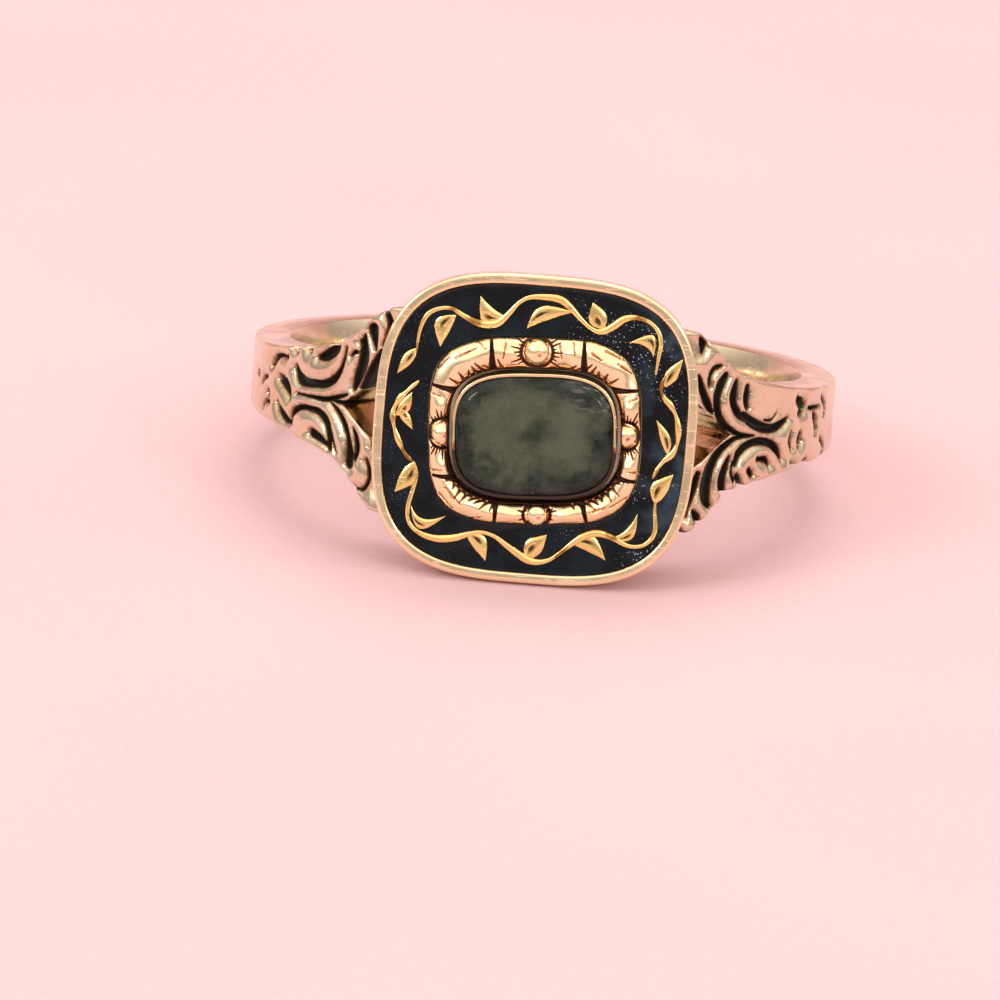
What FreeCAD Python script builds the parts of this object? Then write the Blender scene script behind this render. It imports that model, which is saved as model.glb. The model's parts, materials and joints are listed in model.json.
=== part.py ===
import FreeCAD, Part
import math
import os

os.makedirs("parts", exist_ok=True)

Vector = FreeCAD.Vector

# Driving dimensions of the ring, in millimetres and degrees.
# The ring is drawn round the Z axis, its head towards -Y, and is laid on its side at the end.
# An angle round the ring counts from the front: positive to +X, negative to -X.
finger_radius = 8.80
bore_allowance = 0.15
back_radius = 9.80
band_half_width = 1.15
edge_round = 0.18
edge_drop = 0.09

face_depth = 11.00
rim_half_x = 5.32
rim_half_z = 5.12
field_half_x = 5.00
field_half_z = 4.80
cushion_power = 3.2
rim_plate_thickness = 0.70
rim_chamfer = 0.08
box_inset = 0.42
box_depth = 9.20
box_chamfer = 0.15
rim_flare = 0.10
field_sink = 0.55
head_sides = 48

frame_half_x = 3.50
frame_half_z = 3.09
frame_power = 3.5
frame_turn = 3.5
glass_half_x = 2.58
glass_half_z = 1.95
glass_power = 3.2
window_drop = 0.16
collet_wall = 0.12
well_gap = 0.12
piece_gap = 0.02
cutter_reach = 0.50

enamel_below_rim = 0.06
scroll_proud = 0.03
scroll_foot = 0.10
stem_tip = 0.45
stem_taper = 0.20
leaf_blunt = 0.02
leaf_belly = 0.35
leaf_steps = 5

frame_sides = 84
frame_rows = 5
frame_outer_rise = 0.28
frame_inner_rise = 0.20
frame_crown = 0.28
crown_power = 0.7
notch_cut = 0.20
notch_half_width = 0.11
boss_foot = 0.10
boss_groove = 0.10
collet_rise = 0.42
crystal_sink = 0.15
girdle_rise = 0.38
table_rise = 0.58
bevel_width = 0.30
glass_sides = 32

slit_end = 25.5
slit_crotch = 36.5
slit_half_height = 1.43
slit_middle = 0.08
floor_sink = 0.32
ridge_spread = 0.68
least_relief = 0.20
chasing_radius = 10.40
chasing_full = 52.0
chasing_end = 88.0

corner_digits = 5

# Columns of points on each side of the band: first angle, degrees between them, number, rows in each half
COLUMNS = (
    (0.0, 12.0, 2, 2),
    (24.0, 1.2, 33, 11),
    (65.0, 3.0, 9, 8),
    (96.0, 7.0, 12, 3),
)
rows_at_back = 3

# Outline of a shoulder: angle from the front, upper edge, lower edge, outer radius of its surface
OUTLINE = (
    (0.0, 3.40, -3.20, 9.60),
    (20.0, 3.60, -3.40, 10.60),
    (24.0, 3.65, -3.40, 11.05),
    (28.0, 3.50, -3.25, 11.15),
    (31.0, 3.05, -2.85, 11.05),
    (34.0, 2.55, -2.25, 10.95),
    (38.0, 2.10, -1.80, 10.82),
    (44.0, 1.80, -1.58, 10.62),
    (52.0, 1.55, -1.38, 10.40),
    (60.0, 1.38, -1.24, 10.25),
    (75.0, 1.24, -1.18, 10.08),
    (90.0, 1.18, -1.15, 10.00),
    (120.0, 1.15, -1.15, 9.92),
    (180.0, 1.15, -1.15, 9.80),
)

# Chased ridges of a shoulder: width, height, then the path as pairs of angle and height on the band
RIDGES_RIGHT = (
    (0.50, 0.50, ((25.5, 3.35), (28.0, 3.20), (28.6, 2.60))),
    (0.32, 0.46, ((30.0, 1.60), (30.0, 2.30), (31.3, 2.90), (33.0, 2.70), (31.6, 2.10))),
    (0.26, 0.42, ((27.5, 2.20), (30.5, 1.50), (32.0, 1.15))),
    (0.42, 0.52, ((36.0, 2.05), (34.0, 1.45), (34.6, 0.95), (38.0, 0.34), (43.0, 0.10))),
    (0.26, 0.46, ((39.2, 1.60), (37.8, 1.15), (38.6, 0.75))),
    (0.28, 0.46, ((41.5, 1.20), (43.0, 1.45), (46.5, 1.50), (51.0, 1.15), (52.5, 0.70), (50.0, 0.38))),
    (0.38, 0.50, ((42.0, 0.02), (49.0, 0.02), (55.0, 0.06), (60.0, 0.30))),
    (0.42, 0.52, ((43.0, -0.08), (38.0, -0.38), (35.0, -0.80), (33.2, -1.30), (33.4, -2.20))),
    (0.38, 0.50, ((52.0, -1.10), (50.0, -0.66), (46.0, -0.56), (42.4, -0.88), (41.2, -1.30), (43.0, -1.50))),
    (0.26, 0.42, ((36.4, -0.95), (37.0, -1.60))),
    (0.32, 0.36, ((33.5, -0.50), (30.0, -1.25), (28.0, -2.00), (27.4, -2.60))),
    (0.36, 0.44, ((30.0, -2.20), (32.0, -2.30))),
    (0.36, 0.44, ((27.0, -2.70), (28.0, -3.05), (30.2, -2.90), (31.2, -2.55))),
    (0.46, 0.44, ((54.8, -0.80), (58.0, -0.20), (61.5, -0.55), (58.5, -1.00))),
    (0.42, 0.40, ((55.5, 1.15), (60.0, 0.80), (66.0, 0.85))),
    (0.44, 0.34, ((62.0, 0.20), (66.5, -0.25), (72.0, -0.70))),
    (0.46, 0.28, ((69.0, 0.55), (76.0, 0.10))),
    (0.50, 0.20, ((76.0, -0.60), (83.0, 0.10), (84.0, 0.60))),
    (0.28, 0.36, ((54.0, 1.45), (64.0, 1.20), (78.0, 1.05))),
    (0.28, 0.36, ((44.0, -1.50), (55.0, -1.25), (66.0, -1.10), (78.0, -1.02))),
)
# Round knobs of a shoulder: radius, height, then angle and height on the band
KNOBS_RIGHT = (
    (0.52, 0.66, 46.2, 0.82),
    (0.30, 0.44, 45.5, -1.10),
    (0.24, 0.34, 31.5, -2.70),
)

RIDGES_LEFT = (
    (0.62, 0.62, ((48.5, 1.40), (46.8, 1.05), (43.0, 0.98), (40.0, 1.20), (38.4, 1.70))),
    (0.32, 0.56, ((48.5, 1.45), (44.5, 1.85), (40.0, 2.00))),
    (0.24, 0.48, ((37.0, 1.95), (36.6, 1.50), (38.8, 0.90))),
    (0.44, 0.52, ((53.0, 0.22), (46.0, 0.22), (40.0, 0.44), (35.2, 1.00), (33.2, 1.30), (33.0, 1.75))),
    (0.30, 0.46, ((29.2, 1.50), (31.6, 2.10), (32.0, 2.80), (29.6, 3.10), (28.2, 2.80), (29.0, 2.00))),
    (0.42, 0.52, ((53.0, -0.12), (42.0, -0.05), (39.0, -0.35), (37.0, -0.95), (35.2, -1.85))),
    (0.36, 0.46, ((35.5, -0.55), (33.2, -0.95), (31.4, -1.45), (31.2, -2.40))),
    (0.32, 0.46, ((50.0, -1.10), (48.0, -0.84), (44.4, -0.74), (41.8, -1.00))),
    (0.26, 0.38, ((49.0, -1.20), (45.0, -1.42), (40.6, -1.52))),
    (0.30, 0.32, ((30.5, -1.60), (28.6, -2.20), (28.2, -2.90))),
    (0.42, 0.42, ((57.0, 0.65), (56.0, 0.05), (54.0, -0.50), (51.5, -1.05))),
    (0.42, 0.38, ((62.0, 0.90), (59.2, 0.40), (58.2, -0.30), (57.8, -0.90))),
    (0.42, 0.38, ((52.0, 1.30), (57.0, 1.22), (61.0, 0.95))),
    (0.46, 0.32, ((65.0, 0.65), (66.5, 0.00), (65.0, -0.65))),
    (0.48, 0.26, ((71.5, 0.60), (73.5, -0.35))),
    (0.50, 0.18, ((79.0, 0.45), (81.0, -0.40))),
    (0.28, 0.36, ((50.0, 1.52), (58.0, 1.32), (66.0, 1.20), (78.0, 1.05))),
    (0.28, 0.36, ((42.0, -1.55), (55.0, -1.24), (66.0, -1.10), (78.0, -1.02))),
)
KNOBS_LEFT = (
    (0.46, 0.60, 46.2, 1.32),
    (0.30, 0.46, 34.0, 2.20),
    (0.42, 0.50, 26.8, 3.40),
    (0.34, 0.44, 31.2, -2.30),
)

# Stems of the scroll on the head's face: widest width, then points right of and above the face's centre
STEMS = (
    (0.17, ((-4.08, 2.30), (-4.02, 3.00), (-3.83, 3.50), (-3.50, 3.74), (-3.04, 3.80), (-2.60, 3.58),
            (-2.10, 3.38), (-1.55, 3.40), (-1.19, 3.72), (-0.85, 4.15), (-0.50, 4.37), (0.00, 4.42),
            (0.50, 4.38), (0.85, 4.15), (1.25, 3.77), (1.60, 3.50), (1.95, 3.42), (2.30, 3.62),
            (2.65, 3.90), (3.05, 3.98), (3.50, 3.86), (3.80, 3.58), (3.92, 3.20), (3.88, 2.75),
            (3.83, 2.15))),
    (0.15, ((4.20, 2.20), (4.04, 1.76), (4.16, 1.42), (4.40, 1.17), (4.60, 0.84), (4.72, 0.40),
            (4.72, -0.04), (4.58, -0.43), (4.31, -0.70), (4.12, -0.99), (4.00, -1.30))),
    (0.17, ((4.15, -1.95), (4.16, -2.40), (4.22, -2.92), (4.12, -3.30), (3.82, -3.56), (3.37, -3.60),
            (2.83, -3.37), (2.31, -3.26), (1.88, -3.41), (1.53, -3.67), (1.18, -3.99), (0.84, -4.26),
            (0.47, -4.38), (0.10, -4.34), (-0.29, -4.12), (-0.67, -3.88), (-1.07, -3.63),
            (-1.51, -3.54), (-1.95, -3.65), (-2.38, -3.80), (-2.89, -3.87), (-3.34, -3.80),
            (-3.73, -3.60), (-3.94, -3.29), (-3.97, -2.85), (-3.86, -2.32), (-3.76, -1.80),
            (-3.86, -1.42))),
    (0.15, ((-3.95, -1.35), (-4.21, -1.12), (-4.47, -0.65), (-4.66, -0.14), (-4.69, 0.30),
            (-4.50, 0.69), (-4.23, 1.01), (-3.92, 1.32))),
)

# Leaves of the scroll: root, tip, how far the outer and the inner edge bow to the left of root to tip
LEAVES = (
    (-4.08, 2.40, -4.66, 1.50, 0.14, -0.16),
    (-2.85, 3.60, -3.31, 2.49, -0.42, 0.02),
    (-1.25, 3.70, -2.12, 4.30, 0.50, 0.06),
    (-0.52, 3.32, 1.00, 4.00, 0.42, 0.04),
    (2.00, 3.50, 1.58, 4.38, 0.27, -0.20),
    (3.70, 2.70, 2.88, 3.14, -0.50, -0.14),
    (4.14, 1.75, 4.68, 2.74, 0.18, -0.15),
    (4.42, -0.48, 3.97, 0.66, -0.22, 0.06),
    (4.14, -2.15, 4.68, -1.10, 0.34, -0.10),
    (2.75, -3.36, 3.60, -2.50, -0.42, -0.12),
    (1.50, -3.70, 2.68, -4.16, 0.44, 0.02),
    (0.02, -4.28, 0.68, -3.44, 0.27, -0.20),
    (-2.00, -3.64, -1.28, -4.50, 0.36, -0.04),
    (-3.88, -2.80, -2.68, -3.08, -0.56, -0.26),
    (-3.88, -1.35, -4.46, -2.44, 0.32, -0.12),
    (-4.60, 0.10, -4.12, 0.94, -0.22, 0.10),
    (-4.55, 0.36, -4.00, -0.32, 0.16, -0.10),
)

# Round bosses of the chased frame: place on the face, radius, height
BOSSES = (
    (0.05, 2.64, 0.48, 0.46),
    (-3.00, -0.10, 0.44, 0.44),
    (3.00, -0.08, 0.42, 0.42),
    (0.12, -2.74, 0.42, 0.38),
)

# Notches cut across the frame between its petals and corner leaves, from inside to outside
NOTCHES = (
    (-1.40, 2.05, -1.46, 3.08),
    (1.60, 2.05, 1.60, 3.05),
    (-1.20, -2.05, -1.28, -3.08),
    (1.55, -2.05, 1.78, -3.05),
    (-2.62, 1.30, -3.40, 1.52),
    (-2.50, -1.60, -3.30, -1.50),
    (2.50, 1.40, 3.40, 1.42),
    (2.60, -1.45, 3.40, -1.62),
)


def outline_at(angle, name):
    place = {"upper": 1, "lower": 2, "radius": 3}[name]
    a = abs(angle)
    for near, far in zip(OUTLINE, OUTLINE[1:]):
        if a <= far[0]:
            t = (a - near[0]) / (far[0] - near[0])
            return near[place] + t * (far[place] - near[place])
    return OUTLINE[-1][place]


def arc_length(angle):
    return chasing_radius * math.radians(angle)


def distance_to_path(path, s, z):
    best = math.inf
    for (a0, z0), (a1, z1) in zip(path, path[1:]):
        s0, s1 = arc_length(a0), arc_length(a1)
        ds, dz = s1 - s0, z1 - z0
        t = ((s - s0) * ds + (z - z0) * dz) / (ds * ds + dz * dz)
        t = min(1.0, max(0.0, t))
        best = min(best, math.hypot(s - s0 - t * ds, z - z0 - t * dz))
    return best


def relief(angle, z):
    """Height of the chased ridges and knobs over their ground, at one place on the band."""
    a = abs(angle)
    ridges = RIDGES_RIGHT if angle > 0 else RIDGES_LEFT
    knobs = KNOBS_RIGHT if angle > 0 else KNOBS_LEFT
    s = arc_length(a)
    height = 0.0
    for width, top, path in ridges:
        d = distance_to_path(path, s, z) / (ridge_spread * width)
        if d < 1.0:
            height = max(height, top * (1.0 - d * d))
    for radius, top, angle_at, z_at in knobs:
        d = math.hypot(s - arc_length(angle_at), z - z_at) / radius
        if d < 1.0:
            height = max(height, top * math.sqrt(1.0 - d * d))
    return height * (least_relief + (1.0 - least_relief) * sunk(a) / floor_sink)


def sunk(angle):
    """How far the chased ground lies under the band's surface; it runs out at the sides of the ring."""
    a = abs(angle)
    if a < chasing_full:
        return floor_sink
    return floor_sink * max(0.0, (chasing_end - a) / (chasing_end - chasing_full))


def slit_edges(angle):
    """Lower and upper edge of the slit that splits a shoulder; they meet where there is no slit."""
    a = abs(angle)
    if a >= slit_crotch or a < slit_end:
        return slit_middle, slit_middle
    half = slit_half_height * (slit_crotch - a) / (slit_crotch - slit_end)
    return slit_middle - half, slit_middle + half


def at(radius, angle, z):
    t = math.radians(angle)
    return (radius * math.sin(t), -radius * math.cos(t), z)


def cushion(half_x, half_z, power, sides):
    """A square with bowed sides and round corners: points of a superellipse."""
    points = []
    for i in range(sides):
        t = 2.0 * math.pi * i / sides
        c, s = math.cos(t), math.sin(t)
        reach = (abs(c / half_x) ** power + abs(s / half_z) ** power) ** (-1.0 / power)
        points.append((reach * c, reach * s))
    return points


class Skin:
    """Triangles that share their corners, turned into one solid."""

    def __init__(self):
        self.points = []
        self.index = {}
        self.triangles = []

    def corner(self, p):
        key = tuple(round(v, corner_digits) for v in p)
        if key not in self.index:
            self.index[key] = len(self.points)
            self.points.append(Vector(*key))
        return self.index[key]

    def triangle(self, a, b, c):
        ids = (self.corner(a), self.corner(b), self.corner(c))
        if len(set(ids)) == 3:
            self.triangles.append(ids)

    def quad(self, a, b, c, d):
        self.triangle(a, b, c)
        self.triangle(a, c, d)

    def strip(self, near, far):
        """Triangles between two rows of points that may differ in number."""
        i = j = 0
        while i < len(near) - 1 or j < len(far) - 1:
            next_i = (i + 1) / max(1, len(near) - 1)
            next_j = (j + 1) / max(1, len(far) - 1)
            if j == len(far) - 1 or (i < len(near) - 1 and next_i <= next_j):
                self.triangle(near[i], near[i + 1], far[j])
                i += 1
            else:
                self.triangle(near[i], far[j + 1], far[j])
                j += 1

    def solid(self):
        shape = Part.Shape()
        shape.makeShapeFromMesh((self.points, self.triangles), 10.0 ** -corner_digits)
        solid = Part.Solid(Part.Shell(shape.Faces))
        if solid.Volume < 0:
            solid.reverse()
        return solid


def band_column(angle, rows):
    """Outer points of the band at one angle: lower half, then upper half, each with rows + 1 points."""
    low, high = slit_edges(angle)
    lower = outline_at(angle, "lower")
    upper = outline_at(angle, "upper")
    radius = outline_at(angle, "radius") - sunk(angle)
    halves = []
    for start, end in ((lower, low), (high, upper)):
        chain = []
        for i in range(rows + 1):
            z = start + (end - start) * i / rows
            rise = relief(angle, z)
            from_edge = min(z - lower, upper - z)
            if from_edge < edge_round:
                rise -= edge_drop * (1.0 - from_edge / edge_round)
            chain.append(at(radius + rise, angle, z))
        halves.append(chain)
    inner = [at(finger_radius - bore_allowance, angle, z) for z in (lower, low, high, upper)]
    return {"angle": angle, "outer": halves, "inner": inner}


def band_angles():
    right = []
    for first, step, number, rows in COLUMNS:
        right += [(first + step * i, rows) for i in range(number)]
    left = [(-angle, rows) for angle, rows in reversed(right) if angle > 0.0]
    return right + [(180.0, rows_at_back)] + left


def make_band():
    skin = Skin()
    columns = [band_column(angle, rows) for angle, rows in band_angles()]
    for one, two in zip(columns, columns[1:] + columns[:1]):
        join_columns(skin, one, two)
    return skin.solid()


def is_open(item):
    low, high = slit_edges(item["angle"])
    return high > low


def join_columns(skin, one, two):
    """The band between two columns, with the slit's walls, its pointed crotch or its square end."""
    for half in (0, 1):
        skin.strip(one["outer"][half], two["outer"][half])
    skin.quad(one["inner"][0], two["inner"][0], two["inner"][1], one["inner"][1])
    skin.quad(one["inner"][2], two["inner"][2], two["inner"][3], one["inner"][3])
    skin.quad(one["outer"][0][0], two["outer"][0][0], two["inner"][0], one["inner"][0])
    skin.quad(one["outer"][1][-1], two["outer"][1][-1], two["inner"][3], one["inner"][3])
    open_one, open_two = is_open(one), is_open(two)
    if not open_one and not open_two:
        return
    at_crotch = abs(one["angle"]) > 0.5 * (slit_end + slit_crotch)
    if open_one and open_two or at_crotch:
        skin.quad(one["outer"][0][-1], two["outer"][0][-1], two["inner"][1], one["inner"][1])
        skin.quad(one["outer"][1][0], two["outer"][1][0], two["inner"][2], one["inner"][2])
        return
    opened, closed = (one, two) if open_one else (two, one)
    skin.triangle(opened["outer"][0][-1], opened["outer"][1][0], closed["outer"][0][-1])
    skin.triangle(opened["inner"][1], opened["inner"][2], closed["inner"][1])
    skin.quad(opened["outer"][0][-1], opened["outer"][1][0], opened["inner"][2], opened["inner"][1])


def ring_of(half_x, half_z, power, depth, sides):
    return [(x, -depth, z) for x, z in cushion(half_x, half_z, power, sides)]


def stack(levels, sides):
    """A closed cushion-shaped body through levels of half width, half height, power and depth."""
    skin = Skin()
    rings = [ring_of(hx, hz, power, depth, sides) for hx, hz, power, depth in levels]
    for low, high in zip(rings, rings[1:]):
        for i in range(sides):
            j = (i + 1) % sides
            skin.quad(low[i], low[j], high[j], high[i])
    for ring, level in ((rings[0], levels[0]), (rings[-1], levels[-1])):
        middle = (0.0, -level[3], 0.0)
        for i in range(sides):
            skin.triangle(ring[i], ring[(i + 1) % sides], middle)
    return skin.solid()


def make_head():
    """The box under the head and the rim plate on it, with the sunk field for the enamel."""
    n = cushion_power
    rim_back = face_depth - rim_plate_thickness
    floor = face_depth - field_sink
    bx, bz = rim_half_x - box_inset, rim_half_z - box_inset
    levels = (
        (bx - box_chamfer, bz - box_chamfer, n, box_depth),
        (bx, bz, n, box_depth + box_chamfer),
        (bx, bz, n, rim_back - rim_flare),
        (rim_half_x - rim_chamfer, rim_half_z - rim_chamfer, n, rim_back),
        (rim_half_x, rim_half_z, n, rim_back + rim_chamfer),
        (rim_half_x, rim_half_z, n, face_depth - rim_chamfer),
        (rim_half_x - rim_chamfer, rim_half_z - rim_chamfer, n, face_depth),
        (field_half_x, field_half_z, n, face_depth),
        (field_half_x, field_half_z, n, floor),
    )
    return stack(levels, head_sides)


def prism(outline, low, high):
    """An outline on the face of the head, raised from depth low to depth high."""
    corners = [Vector(x, -low, z) for x, z in outline]
    wire = Part.makePolygon(corners + corners[:1])
    return Part.Face(wire).extrude(Vector(0, low - high, 0))


def stem_outline(width, path, extra):
    left, right = [], []
    for i, (x, z) in enumerate(path):
        before, after = path[max(0, i - 1)], path[min(len(path) - 1, i + 1)]
        dx, dz = after[0] - before[0], after[1] - before[1]
        size = math.hypot(dx, dz)
        t = i / (len(path) - 1)
        taper = stem_tip + (1.0 - stem_tip) * min(1.0, min(t, 1.0 - t) / stem_taper)
        half = 0.5 * width * taper + extra
        left.append((x - dz / size * half, z + dx / size * half))
        right.append((x + dz / size * half, z - dx / size * half))
    return left + right[::-1]


def leaf_outline(root_x, root_z, tip_x, tip_z, outer, inner, extra):
    dx, dz = tip_x - root_x, tip_z - root_z
    size = math.hypot(dx, dz)
    nx, nz = -dz / size, dx / size
    sides = []
    sign = 1.0 if outer > inner else -1.0
    for bow, way in ((outer, sign), (inner, -sign)):
        chain = []
        for i in range(leaf_steps + 1):
            t = i / leaf_steps
            belly = 1.0 + leaf_belly * (1.0 - 2.0 * t)
            bulge = 4.0 * t * (1.0 - t) * bow * belly + way * extra
            along = t * size + extra * (2.0 * t - 1.0)
            chain.append((root_x + dx / size * along + nx * bulge,
                          root_z + dz / size * along + nz * bulge))
        sides.append(chain)
    return sides[0] + sides[1][::-1]


def scroll_prisms(low, high, extra):
    shapes = [prism(stem_outline(width, path, extra), low, high) for width, path in STEMS]
    shapes += [prism(leaf_outline(*leaf, max(extra, leaf_blunt)), low, high) for leaf in LEAVES]
    return shapes


def make_hoop():
    """Band, head and raised scroll soldered into one, and the finger hole bored through to its size."""
    band = make_band()
    head = make_head()
    print("band", band.isValid(), round(band.Volume, 2), "head", head.isValid(), round(head.Volume, 2))
    floor = face_depth - field_sink
    top = face_depth - enamel_below_rim + scroll_proud
    hoop = band.fuse(head)
    print("band and head", hoop.isValid(), len(hoop.Solids), round(hoop.Volume, 2))
    hoop = hoop.fuse(scroll_prisms(floor - scroll_foot, top, 0.0))
    print("with scroll", hoop.isValid(), len(hoop.Solids), round(hoop.Volume, 2))
    reach = 2.0 * rim_half_z
    bore = Part.makeCylinder(finger_radius, 2.0 * reach, Vector(0, 0, -reach), Vector(0, 0, 1))
    hoop = hoop.cut(bore)
    print("bored to size", hoop.isValid(), len(hoop.Solids), round(hoop.Volume, 2))
    return hoop


def ring_between(outer, inner, low, high, sides):
    """A cushion-shaped ring: outer and inner are half width, half height and power."""
    body = stack(((*outer, low), (*outer, high)), sides)
    hole = stack(((*inner, low - cutter_reach), (*inner, high + cutter_reach)), sides)
    return body.cut(hole)


def make_enamel():
    """Enamel fills the field round the frame, and the raised scroll stands in clearances cut through it."""
    low = face_depth - field_sink + piece_gap
    high = face_depth - enamel_below_rim
    below, above = low - cutter_reach, high + cutter_reach
    outer = (field_half_x - piece_gap, field_half_z - piece_gap, cushion_power)
    inner = (frame_half_x + piece_gap, frame_half_z + piece_gap, frame_power)
    border = stack(((*outer, low), (*outer, high)), head_sides)
    border = border.cut(turned(stack(((*inner, below), (*inner, above)), frame_sides)))
    return border.cut(scroll_prisms(below, above, 2.0 * piece_gap))


def turned(shape):
    """The frame and the glass are set a little askew on the head."""
    shape.rotate(Vector(0, 0, 0), Vector(0, 1, 0), -frame_turn)
    return shape


def in_window(shape):
    """The window sits a little below the middle of the frame, so the frame is broader above it."""
    shape.translate(Vector(0, 0, -window_drop))
    return turned(shape)


def notch_depth(x, z):
    """How deep the notches across the frame are cut at one place on the face."""
    cut = 0.0
    for x0, z0, x1, z1 in NOTCHES:
        dx, dz = x1 - x0, z1 - z0
        t = ((x - x0) * dx + (z - z0) * dz) / (dx * dx + dz * dz)
        t = min(1.0, max(0.0, t))
        d = math.hypot(x - x0 - t * dx, z - z0 - t * dz) / notch_half_width
        if d < 1.0:
            cut = max(cut, notch_cut * (1.0 - d * d))
    return cut


def frame_rise(x, z, t):
    """Height of the chased frame above the rim, t running from its outer edge to its inner edge."""
    edge = frame_outer_rise + t * (frame_inner_rise - frame_outer_rise)
    rise = edge + frame_crown * math.sin(math.pi * t) ** crown_power - notch_depth(x, z)
    for boss_x, boss_z, radius, top in BOSSES:
        d = math.hypot(x - boss_x, z - boss_z)
        if d < radius:
            dome = top * math.sqrt(1.0 - (d / radius) ** 2)
            rise = max(rise, frame_inner_rise + boss_foot + dome)
        elif d < radius + 2.0 * notch_half_width:
            rise -= boss_groove
    return rise


def make_frame():
    """A crowned ring, chased into petals and corner leaves, round the well that the glass sits in."""
    skin = Skin()
    foot = face_depth - field_sink + piece_gap
    well_x = glass_half_x + piece_gap + collet_wall + well_gap
    well_z = glass_half_z + piece_gap + collet_wall + well_gap
    outer = cushion(frame_half_x, frame_half_z, frame_power, frame_sides)
    inner = [(x, z - window_drop) for x, z in cushion(well_x, well_z, glass_power, frame_sides)]
    columns = []
    for (xo, zo), (xi, zi) in zip(outer, inner):
        chain = [(xo, -foot, zo)]
        for k in range(frame_rows + 1):
            t = k / frame_rows
            x, z = xo + t * (xi - xo), zo + t * (zi - zo)
            chain.append((x, -face_depth - frame_rise(x, z, t), z))
        chain.append((xi, -foot, zi))
        columns.append(chain)
    for one, two in zip(columns, columns[1:] + columns[:1]):
        for k in range(len(one)):
            m = (k + 1) % len(one)
            skin.quad(one[k], one[m], two[m], two[k])
    return turned(skin.solid())


def make_collet():
    inner = (glass_half_x + piece_gap, glass_half_z + piece_gap, glass_power)
    outer = (inner[0] + collet_wall, inner[1] + collet_wall, glass_power)
    low, high = face_depth - field_sink + piece_gap, face_depth + collet_rise
    return in_window(ring_between(outer, inner, low, high, glass_sides))


def make_crystal():
    top_x, top_z = glass_half_x - bevel_width, glass_half_z - bevel_width
    levels = (
        (glass_half_x, glass_half_z, glass_power, face_depth - crystal_sink),
        (glass_half_x, glass_half_z, glass_power, face_depth + girdle_rise),
        (top_x, top_z, glass_power, face_depth + table_rise),
    )
    return in_window(stack(levels, glass_sides))


def make_hair():
    levels = (
        (glass_half_x, glass_half_z, glass_power, face_depth - field_sink + piece_gap),
        (glass_half_x, glass_half_z, glass_power, face_depth - crystal_sink - piece_gap),
    )
    return in_window(stack(levels, glass_sides))


def lay_on_its_side(shapes):
    """Tip the ring until the head's lower edge and the back of the band meet the ground together."""
    heel = face_depth - rim_plate_thickness + rim_chamfer
    lift = math.atan((rim_half_z - band_half_width) / (heel + back_radius))
    for shape in shapes:
        shape.rotate(Vector(0, 0, 0), Vector(1, 0, 0), -math.degrees(lift))
    box = FreeCAD.BoundBox()
    for shape in shapes:
        for vertex in shape.Vertexes:
            box.add(vertex.Point)
    for shape in shapes:
        shape.translate(Vector(-box.Center.x, -box.Center.y, -box.ZMin))
    print("tilt in degrees", round(math.degrees(lift), 2))
    print("size in mm", round(box.XLength, 2), round(box.YLength, 2), round(box.ZLength, 2))
    print("middle of the finger hole", [round(v, 4) for v in (-box.Center.x, -box.Center.y, -box.ZMin)])


pieces = {
    "hoop": make_hoop(),
    "enamel_border": make_enamel(),
    "chased_frame": make_frame(),
    "collet": make_collet(),
    "crystal": make_crystal(),
    "hair_panel": make_hair(),
}
lay_on_its_side(list(pieces.values()))
for name, piece in pieces.items():
    print(name, "valid", piece.isValid(), "solids", len(piece.Solids), "cubic mm", round(piece.Volume, 3))
    piece.exportStep("parts/" + name + ".step")
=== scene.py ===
# %% [markdown]
# A gold mourning ring
#
# A ring of this kind is a band of rose gold whose ends split, rise and open into leaves, and carry a
# cushion-shaped head. The head is a shallow tray: black enamel fills it round a gold scroll, and in the
# middle a chased frame of flowers and leaves holds a piece of glass over a plait of hair.
# The ring lies on its side, on the lower edge of its head and the back of its band, so its face looks
# forward and a little up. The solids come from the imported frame, and this script gives them their looks.

# %% Load the frame and its box
import bpy
import bmesh
import json
import math
import numpy as np
from mathutils import Matrix, Vector


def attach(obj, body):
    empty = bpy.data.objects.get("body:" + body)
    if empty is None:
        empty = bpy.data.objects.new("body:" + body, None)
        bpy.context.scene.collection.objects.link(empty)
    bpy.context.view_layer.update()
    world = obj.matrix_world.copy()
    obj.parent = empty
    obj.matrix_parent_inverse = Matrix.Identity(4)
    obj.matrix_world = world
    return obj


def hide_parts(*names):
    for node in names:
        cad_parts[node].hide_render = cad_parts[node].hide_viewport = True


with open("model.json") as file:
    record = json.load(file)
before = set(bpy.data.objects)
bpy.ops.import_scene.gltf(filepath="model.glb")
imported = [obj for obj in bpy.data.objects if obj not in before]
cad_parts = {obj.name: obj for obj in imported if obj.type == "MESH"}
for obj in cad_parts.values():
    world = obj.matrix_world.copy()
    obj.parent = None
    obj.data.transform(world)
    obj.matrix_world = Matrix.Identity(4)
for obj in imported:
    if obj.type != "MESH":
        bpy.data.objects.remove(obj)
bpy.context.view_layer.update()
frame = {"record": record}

# %% [markdown]
# The ring is easiest to draw standing in its own axes: the finger hole runs along Z, the head looks
# towards -Y, and lengths are in millimetres. One small function then lays every point on its side.
# The tilt and the middle of the finger hole are read from the frame's own mount, so every piece lands
# on its solid, and no object is ever turned or moved.

# %% Sizes of the ring in millimetres, and how it lies
MM = 0.001
finger_radius = 8.80
face_depth = 11.00
cushion_power = 3.2
rim_half_x, rim_half_z = 5.32, 5.12
rim_plate_thickness = 0.70
box_inset, box_depth = 0.42, 9.20
field_half_x, field_half_z = 5.00, 4.80
field_sink, enamel_below_rim = 0.55, 0.06
frame_half_x, frame_half_z, frame_power = 3.50, 3.09, 3.5
frame_turn = math.radians(3.5)
glass_half_x, glass_half_z, glass_power = 2.58, 1.95, 3.2
window_drop = 0.16
piece_gap, collet_wall, well_gap = 0.02, 0.12, 0.12

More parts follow.
